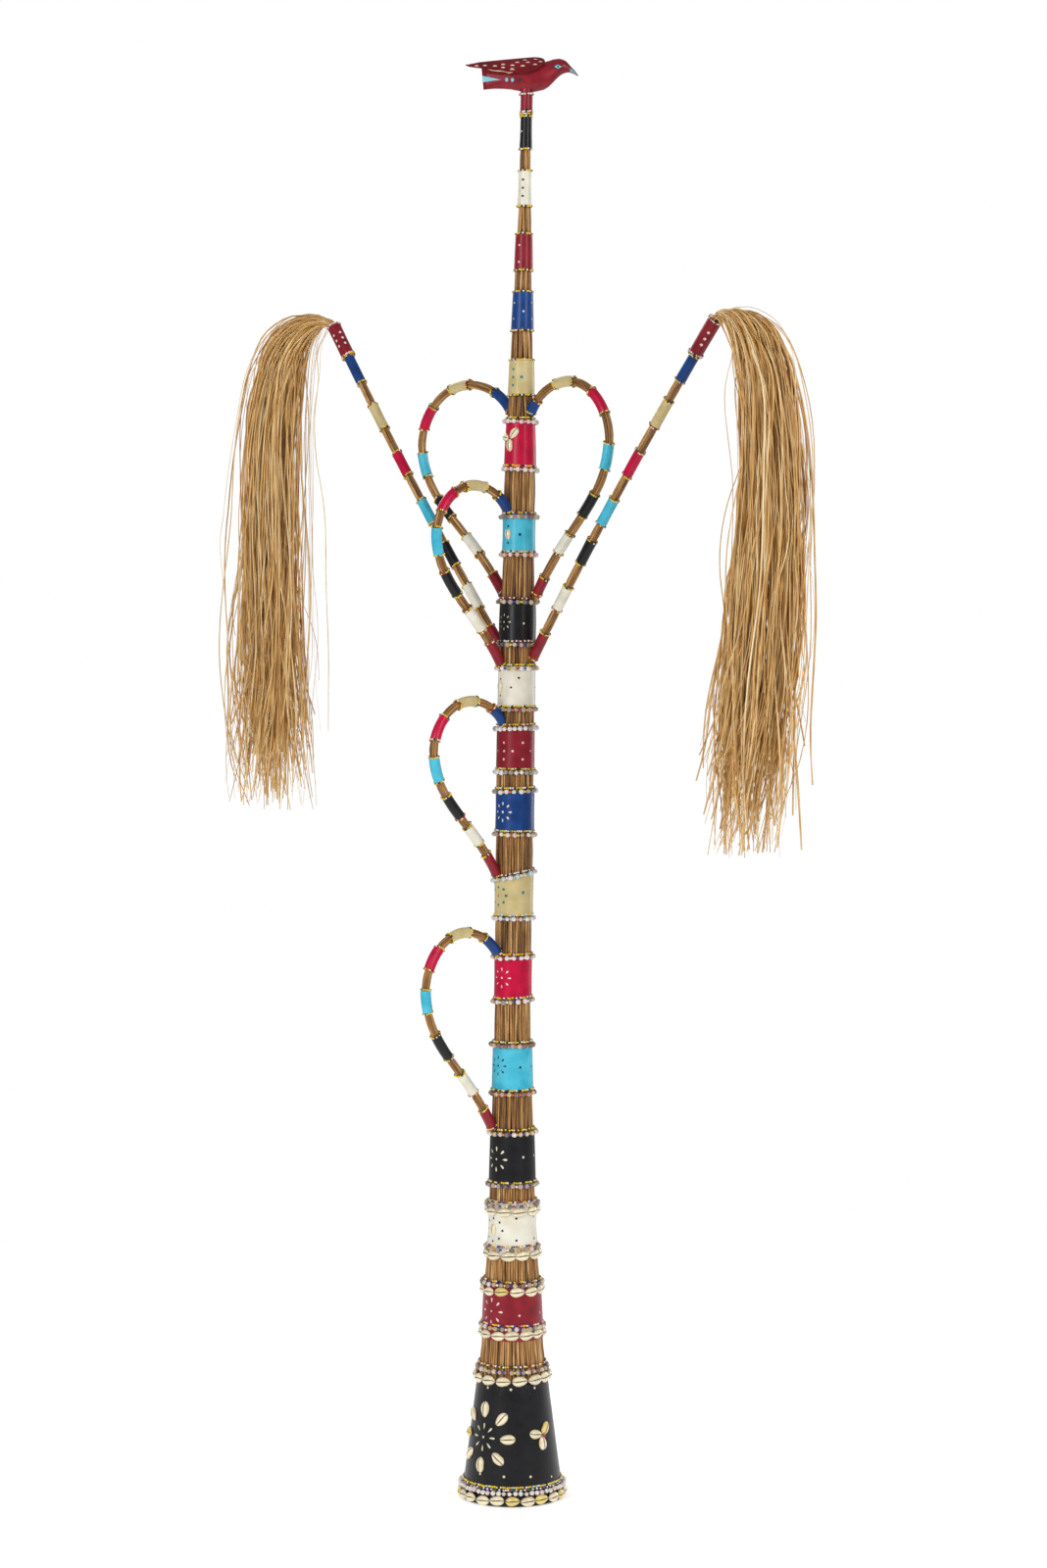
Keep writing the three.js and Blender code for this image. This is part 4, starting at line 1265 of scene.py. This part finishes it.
# The three rings of an arm's end cuff: their place from its end, and the order of the beads
END_RINGS = [(-END_CUFF - 0.9, "YKYKYW"), (-END_CUFF + 1, "WPWWPK"), (0.9, "WPWWRW")]
for order, (name, limb) in enumerate(limbs.items()):
    rng = np.random.default_rng(700 + order)
    heap = Heap()
    for low, high in CUFFS[name]:
        for edge in (low - 0.8, high + 0.8):
            place = min(max(edge, 3), limb.length - 2)
            letters = RING_LETTERS[rng.integers(len(RING_LETTERS))]
            limb_ring(heap, limb, place, CUFF_RADIUS + 0.45, letters, rng, 1.15)
    for edge, letters in END_RINGS if name in ARMS else []:
        limb_ring(heap, limb, limb.length + edge, END_CUFF_RADIUS + 0.5, letters, rng)
    piece(name + "_bead_rings", heap, STRING_MATERIALS, "beads")
print(made[-1])

# %% [markdown]
# ## The straw plumes
# Several hundred strips of palm straw are stuffed into the end of each arm. They spring out in the
# arm's direction, bend over in an arch and hang straight down, more loosely towards their tips. A
# hair system would not survive the export, so each straw is a bent rod with a flat section. Straws
# keep together in locks, which gives the plume its dark partings, and a few stray from it.

# %% How a straw hangs
PLUMES = {
    # arm, seed, where the middle hangs, half widths along X and Y, drift inwards and narrowing towards
    # the tips, lowest and highest tips
    "straw_plume_left": ("arm_left", 21, 131, 55, 33, 2, 0.1, (-648, -515)),
    "straw_plume_right": ("arm_right", 22, 91, 33, 42, 37, 0.5, (-640, -500)),
}
# Share of the way out, and the height there over the arm's tip: for a straw that ends FAR_OUT, and for
# one that hangs close by
ARCH = np.array([
    (0, 3, 1), (0.15, 15, 2), (0.37, 16, -6), (0.53, 6, -14), (0.67, -11, -23), (0.77, -34, -33),
    (0.84, -59, -44), (0.89, -88, -57), (0.94, -126, -75), (0.98, -176, -100), (1, -236, -140),
])
# No straw ends nearer to the arm's tip than NEAREST, or further to the front or back than DEEPEST
FAR_OUT, NEAREST, DEEPEST, WIDEST_SWING = 172, 14, 62, 80
STRAWS, LOCKS, STRAYS = 390, 44, 25
ARCH_RINGS, HANG_RINGS = 20, 16


def smooth_through(keys, steps):
    """Catmull-Rom points through the keys (keys x columns)."""
    ends = np.concatenate([[2 * keys[0] - keys[1]], keys, [2 * keys[-1] - keys[-2]]])
    place = np.linspace(0, len(keys) - 1.001, steps)
    i, t = place.astype(int), (place % 1)[:, None]
    a, b, c, d = (ends[i + k] for k in range(4))
    return 0.5 * (2 * b + (c - a) * t + (2 * a - 5 * b + 4 * c - d) * t**2 + (3 * b - a - 3 * c + d) * t**3)


# %% Where the straws hang
def lanes(rng):
    """Each straw's place in a disc of radius 1, seen from above, and the number of its lock."""
    turn, share = rng.uniform(0, math.tau, LOCKS), np.sqrt(rng.uniform(0, 1, (LOCKS, 1))) * 0.85
    lock = rng.integers(0, LOCKS, STRAWS)
    # Locks fill the disc and straws crowd round their lock. Strays hang outside it.
    lane = (share * outwards(turn)[:, :2])[lock] + rng.normal(0, 0.14, (STRAWS, 2))
    lane /= np.maximum(1, np.linalg.norm(lane, axis=1, keepdims=True) / 1.08)
    turn = rng.uniform(0, math.tau, STRAYS)
    lane[:STRAYS] = outwards(turn)[:, :2] * rng.uniform(1.05, 1.45, (STRAYS, 1))
    return lane, lock


def hanging(rng, lane, out, half_x, half_y, drift, narrowing, tips):
    """The straws' lines from the arm's tip over the arch and down, before they wave."""
    reach = np.maximum(out + lane[:, :1] * half_x, NEAREST)
    depth = np.clip(lane[:, 1:] * half_y, -DEEPEST, DEEPEST)
    arch = smooth_through(ARCH, ARCH_RINGS)
    far = np.clip(reach / FAR_OUT, 0, 1.1)
    start = rng.normal(0, 2.6, (STRAWS, 2))
    loosen = np.clip(arch[:, 0] * 1.5, 0, 1)
    arch_x = reach * arch[:, 0] + start[:, :1] * (1 - loosen)
    arch_y = depth * arch[:, 0] ** 0.8 + start[:, 1:] * (1 - loosen)
    arch_z = arch[:, 1] * far + arch[:, 2] * (1 - far) + start[:, :1] * 0.7 * (1 - loosen)
    arch_z += rng.normal(0, 4, (STRAWS, 1)) * loosen
    # One straw in eight ends higher than the others
    end = rng.uniform(*tips, STRAWS)
    end += np.where(rng.random(STRAWS) < 0.12, rng.uniform(20, 130, STRAWS), 0)
    down = np.linspace(0, 1, HANG_RINGS + 1)[1:]
    hang_z = arch_z[:, -1:] + (end[:, None] - arch_z[:, -1:]) * down
    # The plume widens slowly and its middle drifts in, then the tips spread
    widen = 1 + 0.2 * np.sin(down * 2.6) - narrowing * down**3
    hang_x = out + (reach - out) * widen - drift * down**1.3
    hang_y = depth * (1 + 0.12 * down)
    pairs = ((arch_x, hang_x), (arch_y, hang_y), (arch_z, hang_z))
    return np.stack([np.concatenate(pair, axis=1) for pair in pairs], axis=2)


# %% How the straws wave
def wander(rng, path, size, slowest, fastest):
    """Slow side to side waves along each straw, of that many rounds from end to end."""
    count = len(size)
    slow, phase = rng.uniform(slowest, fastest, (count, 1)), rng.uniform(0, math.tau, (count, 1))
    return size[:, None] * (np.sin(math.tau * slow * path + phase) - np.sin(phase))


def wave(rng, line, path, lock, loose):
    """Moves one coordinate of the lines: locks sway together, straws wave, kink and part."""
    sway = wander(rng, path, rng.normal(0, 7, LOCKS), 0.5, 1.6) * path**0.8
    line += sway[lock]
    line += wander(rng, path, rng.normal(0, 6, STRAWS) * loose, 0.8, 2.2) * path**0.8
    line += wander(rng, path, rng.normal(0, 3.4, STRAWS) / loose, 2.6, 4.8) * path**0.5
    for size, begins, power in ((16, 0.78, 1.6), (6, 0.3, 1)):
        parting = np.clip((path - begins) / (1 - begins), 0, 1) ** power
        line += rng.normal(0, size, (STRAWS, 1)) * parting


# %% Make the plumes
def plume(name):
    arm, seed, *form = PLUMES[name]
    limb = limbs[arm]
    rng = np.random.default_rng(seed)
    lane, lock = lanes(rng)
    lines = hanging(rng, lane, *form)
    rings = lines.shape[1]
    # Strays wave wider, have smaller kinks and are thinner
    loose = np.where(np.arange(STRAWS) < STRAYS, 1.7, 1.0)
    for axis in (0, 1):
        wave(rng, lines[:, :, axis], np.linspace(0, 1, rings), lock, loose)
    # No straw swings out further than WIDEST_SWING
    lines[:, :, 1] = WIDEST_SWING * np.tanh(lines[:, :, 1] / WIDEST_SWING)
    lines = lines * (limb.out[0], 1, 1) + limb.place((0, 0, limb.length - 4))
    slim = np.interp(np.arange(rings), (0, 3, rings - 4, rings - 1), (0.8, 1, 0.9, 0.6))
    width = rng.uniform(0.7, 1.2, (STRAWS, 1)) * rng.uniform(0.9, 1.8, (STRAWS, 1)) / loose[:, None] * slim
    sideways = outwards(rng.uniform(0, math.tau, STRAWS), 0.2)[:, None]
    tint = rng.uniform(0, 1, LOCKS)[lock] * 0.45 + rng.uniform(-0.15, 0.95, STRAWS) * 0.75
    heap = Heap()
    add_rods(heap, lines, width, sideways, rng.uniform(0, 1, STRAWS), tint, 4, 0.4)
    piece(name + "_straws", heap, [STRAW], "straw", name)
    return lines


for name in PLUMES:
    lines = plume(name)
    print(name, "from", lines.min((0, 1)).round(), "to", lines.max((0, 1)).round(), made[-1])

# %% [markdown]
# ## The bird
# The bird is two sheets of dark red leather, sewn together along the back and the belly over a
# little stuffing, so each section is a lens with a sharp seam above and below. It stands on the neck
# sleeve. Two cut wings are tied over its back. Light blue paint gives it a beak, an eye, a wedge
# on the tail and two spots.

# %% The bird's frame and body
BIRD_HEIGHT, BIRD_HEADING = 1790, 45
# Distance along, middle height, half height, half width
BIRD_SECTIONS = np.array([
    (-58, 17.3, 13.6, 1.4), (-48, 18, 13.5, 3.6), (-40, 18.6, 13.6, 5.6), (-30, 19, 14.1, 7.8),
    (-20, 19.4, 15.2, 10), (-10, 19.3, 17, 11.6), (0, 18.9, 18.2, 12.5), (11, 19.4, 18.2, 12.3),
    (22, 21, 17.2, 11.5), (28, 23.7, 16.2, 10.6), (33, 27, 14.6, 9.5), (38, 30, 12.4, 9),
    (42, 32, 10.6, 8.5), (46, 32.6, 8.9, 7.5), (50, 32.2, 7.2, 6.4), (54, 30.2, 4.8, 4),
    (57, 28, 3.6, 3.1), (60, 26, 2.8, 2.4), (63, 23.2, 1.6, 1.4), (65, 21.4, 0.7, 0.7),
])
heading = math.radians(BIRD_HEADING)
FORWARD = np.array([math.cos(heading), math.sin(heading), 0])
RIGHT = np.array([math.sin(heading), -math.cos(heading), 0])
PERCH = np.array([lean_at(BIRD_HEIGHT), 0, BIRD_HEIGHT])


def on_bird(along, aside, height):
    return PERCH + FORWARD * along + RIGHT * aside + np.array([0, 0, height])


rows = len(BIRD_SECTIONS)
bird = turned([(0, 0)] + [(1, i) for i in range(rows)] + [(0, rows - 1)], 28)
for vert in bird.verts:
    along, middle, half_height, half_width = BIRD_SECTIONS[round(vert.co.z)]
    up, side = vert.co.x, vert.co.y
    # A lens: the sides meet at a seam above and below. The tail is cut off aslant.
    bulge = math.copysign(abs(side) ** 1.25, side)
    along = 1.3 * (1 - up) - 56.7 if along < -57 else along
    vert.co = on_bird(along, bulge * half_width, middle + up * half_height)
bmesh.ops.recalc_face_normals(bird, faces=bird.faces)
bird_tree = BVHTree.FromBMesh(bird)


def red_leather(bm, name, *nodes):
    """A smooth piece of the bird's leather, without a rim that would be rubbed."""
    for face in bm.faces:
        face.smooth = True
    mesh = mesh_of(bm, name)
    mesh.attributes.new("rim", "FLOAT", "POINT")
    mesh.transform(Matrix.Scale(MM, 4))
    piece(name, mesh, [LEATHER["dark_red"]], "leather_dark_red", *nodes)


red_leather(bird, "leather_bird_body", "bird_body")
print("bird:", made[-1])

# %% [markdown]
# ### Paint on the bird
# The painted marks are thin patches that lie on the leather. Each starts as a flat outline in the
# bird's side view. Its points are cast onto the body from the side, lifted by a quarter of a
# millimetre or more and thickened, once for each flank.

# %% The paint
def paint(name, colour):
    """Matt craft paint, brushed thinly and patchy."""
    material, shader = surface(name, {"Roughness": 0.45})
    place = add(material, "TexCoord", {}).outputs["Object"]
    patches = add(material, "TexNoise", {"Vector": place, "Scale": 400.0, "Detail": 4.0}).outputs[0]
    rgb = linear(colour)
    thin = [0.8 * v for v in rgb[:3]] + [1]
    mixed = add(material, "Mix", {0: patches, 6: thin, 7: rgb}, data_type="RGBA").outputs[2]
    bump = add(material, "Bump", {"Height": patches, "Strength": 0.3, "Distance": 0.0001}).outputs[0]
    wire(material, shader, {"Base Color": mixed, "Normal": bump})
    return material


# %% Patches of paint
PAINTS = [
    paint("light_blue_craft_paint", "#7fd0e4"),
    paint("near_black_craft_paint", "#211d20"),
    paint("dull_blue_craft_paint", "#6fa9bb"),
]
# Their places in that list
LIGHT, BLACK, DULL = range(3)
# How far the paint stands off the leather: coats that lie over one another take turns
FIRST_COAT, SECOND_COAT, THIRD_COAT, COAT = 0.25, 0.55, 0.85, 0.2


def patch(bm, outline, side, colour, lift=FIRST_COAT):
    """A patch of paint with that outline, (along, height) points, on one flank."""
    old_verts, old_faces = len(bm.verts), len(bm.faces)
    face = bm.faces.new([bm.verts.new((along, 0, height)) for along, height in outline])
    bmesh.ops.triangulate(bm, faces=[face])
    edges = list({edge for face in bm.faces[:][old_faces:] for edge in face.edges})
    bmesh.ops.subdivide_edges(bm, edges=edges, cuts=1, use_grid_fill=True)
    towards = Vector(side * RIGHT)
    for vert in bm.verts[:][old_verts:]:
        start = Vector(on_bird(vert.co.x, side * 40, vert.co.z))
        hit = bird_tree.ray_cast(start, -towards)[0]
        if hit is None:
            hit = Vector(on_bird(vert.co.x, side * 0.8, vert.co.z))
        vert.co = hit + towards * lift
    for face in bm.faces[:][old_faces:]:
        face.material_index = colour


def oval(along, height, wide, tall, points=12):
    steps = [k * math.tau / points for k in range(points)]
    return [(along + wide * math.cos(a), height + tall * math.sin(a)) for a in steps]


WEDGE = [(-55.6, 21.2), (-55.2, 17.2), (-54.6, 13), (-45, 14.2), (-32, 15.2), (-45, 18.2)]
EYE_RIM = [(33.2, 31.2), (39.4, 34.8), (45.8, 31.2), (39.4, 27.8)]
EYE = [(34.6, 31.2), (39.4, 33.9), (44.4, 31.2), (39.4, 28.7)]
BEAK = [(54.4, 29.4), (57.6, 28.8), (63.8, 22.4), (61, 23.4), (57.2, 25.2), (54.6, 26.2)]
marks = bmesh.new()
for side in (1, -1):
    patch(marks, WEDGE, side, LIGHT)
    patch(marks, oval(-25, 15, 1.9, 2.5), side, LIGHT)
    patch(marks, oval(-17.8, 14.6, 1.9, 2.5), side, LIGHT)
    patch(marks, oval(-8, 14.8, 1.9, 2.4), side, BLACK)
    patch(marks, EYE_RIM, side, BLACK)
    patch(marks, EYE, side, LIGHT, SECOND_COAT)
    patch(marks, oval(39.6, 31.3, 1.2, 1.2), side, BLACK, THIRD_COAT)
    patch(marks, BEAK, side, DULL)
bmesh.ops.solidify(marks, geom=marks.faces[:], thickness=COAT)
bmesh.ops.recalc_face_normals(marks, faces=marks.faces)
mesh = mesh_of(marks, "bird_paint")
mesh.transform(Matrix.Scale(MM, 4))
piece("bird_paint", mesh, PAINTS, "leather_turquoise")

# %% [markdown]
# ### Wings
# A wing is one cut piece of leather, laid over the back with its inner edge on the bird's spine. It
# has a wavy hem and rows of half-moon holes with cream skin behind them. The outline is drawn flat,
# filled, thickened and cut like the bands, then curved over the flank.

# %% The flat wing
WING_TILT, WING_LIFT, WING_OFFSET, WING_MIDDLE = math.radians(45), 43.2, 1.4, 14
WING_SHAPE = [
    (21.8, 8.6), (20.8, 5.4), (18.4, 2.6), (14, 0.8), (8, 0), (-10, 3), (-35, 7), (-60, 11), (-78, 16),
    (-73, 18.6), (-66, 20), (-58, 21), (-50, 21.6), (-42, 23.2), (-34, 24), (-26, 26.4), (-17, 26.2),
    (-8, 27), (2, 25.6), (10, 22.6), (16, 18), (20, 13.4), (21.6, 11),
]
HALF_MOONS = [
    (-64, 18), (-53.6, 17.2), (-41, 18), (-30.7, 15.4), (-31, 20.6), (-19, 16.8), (-19.4, 23), (-13, 11.8),
    (-6.2, 17.6), (-3.3, 7.2), (0.3, 11.6), (9.3, 15.4), (10, 5.6), (16, 10.4),
]


def wing_shape(thickness, offset, narrow, hem=0.0):
    """The flat wing between two heights. narrow trims its tail end.

    The lining is smaller, but hangs out by hem at the lower edge.
    """
    bm = bmesh.new()
    inset = 0.9 if hem else 1
    outline = []
    for x, y in WING_SHAPE:
        aside = WING_MIDDLE + (y - WING_MIDDLE) * inset
        if y > 15 and x < -52:
            aside -= narrow
        if y > 21 and -52 < x < -24:
            aside += hem
        outline.append(bm.verts.new((x * inset, aside, offset)))
    grown = bmesh.ops.extrude_face_region(bm, geom=[bm.faces.new(outline)])["geom"]
    for item in grown:
        if isinstance(item, bmesh.types.BMVert):
            item.co.z += thickness
    bmesh.ops.recalc_face_normals(bm, faces=bm.faces)
    # Cross lines, so that the flat sheet can curve
    lines = [((x, 0, 0), (1, 0, 0)) for x in range(-72, 20, 6)]
    lines += [((0, y, 0), (0, 1, 0)) for y in range(2, 26, 5)]
    for point, normal in lines:
        whole = bm.verts[:] + bm.edges[:] + bm.faces[:]
        bmesh.ops.bisect_plane(bm, geom=whole, plane_co=point, plane_no=normal)
    return mesh_of(bm, "wing")


def half_moons():
    """The knives for the half-moon holes: a round prism that is pressed nearly flat towards the hem."""
    bm = bmesh.new()
    for x, y in HALF_MOONS:
        at = Matrix.Translation((x, y, 0))
        new = bmesh.ops.create_cone(
            bm, cap_ends=True, segments=16, radius1=1, radius2=1, depth=8, matrix=at
        )["verts"]
        for vert in new:
            dx, dy = vert.co.x - x, vert.co.y - y
            vert.co.x, vert.co.y = x + dx * 3, y + (dy * 2.6 if dy < 0 else dy * 0.5)
    return mesh_of(bm, "moons")


# %% Lay the wings over the back
for side, name in ((1, "right"), (-1, "left")):
    # The far wing's tail is narrower, because its edge shows above the near one
    narrow = 0 if side > 0 else 5.4
    outside = cut_out(wing_shape(0.7, 0.7, narrow), half_moons())
    lining = wing_shape(0.55, 0.1, narrow, 2.2)
    for label, wing, material, slot, nodes in (
        ("", outside, LEATHER["wing_red"], "dark_red", ["bird_wing_" + name]),
        ("_lining", lining, LINING["peach"], LINING_SLOT["peach"], []),
    ):
        wing.attributes.new("rim", "FLOAT", "POINT")
        for vert in wing.vertices:
            x, y, z = vert.co
            # The flap curls down towards its hem and waves along it
            slope = WING_TILT * (0.8 + 0.014 * y)
            z += 0.5 * math.sin(x / 6) * max(0, y - WING_MIDDLE) / 10
            aside = WING_OFFSET + y * math.cos(slope) + z * math.sin(slope)
            height = WING_LIFT - y * math.sin(slope) + z * math.cos(slope)
            vert.co = Vector(on_bird(x + 1.4, side * aside, height)) * MM
        if side > 0:
            wing.flip_normals()
        wing.update()
        wing.name = "bird_wing_" + name + label
        piece("leather_wing_" + name + label, wing, [material], "leather_" + slot, *nodes)

# %% The flare that joins neck and bird
gusset = [(7.9, -1.6), (8.15, 0), (8.2, 3), (7.9, 6), (7, 9), (6.2, 9), (7, 6), (7.3, 3), (7.2, -1.6)]
flare = turned(gusset, 28, True)
for vert in flare.verts:
    fold = 1 + 0.03 * math.cos(5 * math.atan2(vert.co.y, vert.co.x))
    vert.co = on_bird(vert.co.x * fold, vert.co.y * fold, vert.co.z)
red_leather(flare, "leather_bird_gusset")
print(made[-4:])

# %% [markdown]
# ## The studio
# The photograph was taken against white with soft light from all round, a little stronger from the
# left. A round light table, a bright sky and four large lamps do the same.

# %% Floor and sky
circle = bmesh.new()
bmesh.ops.create_circle(circle, cap_ends=True, segments=96, radius=2)
ground = placed("floor", mesh_of(circle, "floor"))
# A light table: the floor glows faintly and so stays white under the soft light
glow = {"Emission Color": linear("#ffffff"), "Emission Strength": 0.4}
material, _ = surface("pale_studio_floor", {"Roughness": 0.8, "Base Color": linear("#f4f4f3"), **glow})
ground.data.materials.append(material)

world = bpy.data.worlds.new("studio")
bpy.context.scene.world = world
world.use_nodes = True
# The sky is seen white, and lights the staff less than it shows, so that dark leather stays dark
seen = add(world, "LightPath", {}).outputs["Is Camera Ray"]
strength = add(world, "MapRange", {"Value": seen, "To Min": 0.34, "To Max": 1.0}).outputs[0]
wire(world, world.node_tree.nodes["Background"], {"Color": (1, 1, 1, 1), "Strength": strength})


# %% Lamps and camera
def lamp(name, place, target, size, power):
    data = bpy.data.lights.new(name, "AREA")
    data.shape, data.size, data.size_y, data.energy = "RECTANGLE", *size, power
    obj = placed(name, data)
    obj.location = place
    obj.visible_camera = False
    obj.rotation_euler = (Vector(target) - Vector(place)).to_track_quat("-Z", "Y").to_euler()


# Two tall soft boxes beside the camera, one behind on the right and a square one high up behind on
# the left. Each is turned from the camera's direction by so many degrees.
TOWARDS_CAMERA, TO_THE_RIGHT = Vector((0.707, -0.707, 0)), Vector((0.707, 0.707, 0))
for name, turn, distance, height, size, power in (
    ("left_box", -36, 3.2, 1.9, (0.8, 2.2), 46), ("right_box", 40, 3.2, 2.2, (0.7, 2.2), 40),
    ("back_box", 128, 3.0, 1.5, (0.8, 2.2), 26), ("top_box", -150, 3.0, 2.8, (1.6, 1.6), 34),
):
    turn = math.radians(turn)
    place = (TOWARDS_CAMERA * math.cos(turn) + TO_THE_RIGHT * math.sin(turn)) * distance
    lamp(name, (place.x, place.y, height), (0, 0, 1), size, power)

camera_data = bpy.data.cameras.new("camera")
camera_data.lens, camera_data.sensor_width = 78.75, 36
camera = placed("camera", camera_data)
# Where it stands and which way it looks, as fitted to the photograph
camera.location = (3.10384522, -3.08333912, 1.1355)
camera.rotation_euler = Vector((-0.70622455, 0.70622455, -0.0497)).to_track_quat("-Z", "Y").to_euler()
bpy.context.scene.camera = camera
bpy.context.scene.view_settings.view_transform = "Standard"

# %% Sizes and totals
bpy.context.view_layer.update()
total, largest = sum(count for _, count in made), max(made, key=lambda row: row[1])
print(len(made), "pieces,", total, "triangles, largest", largest)
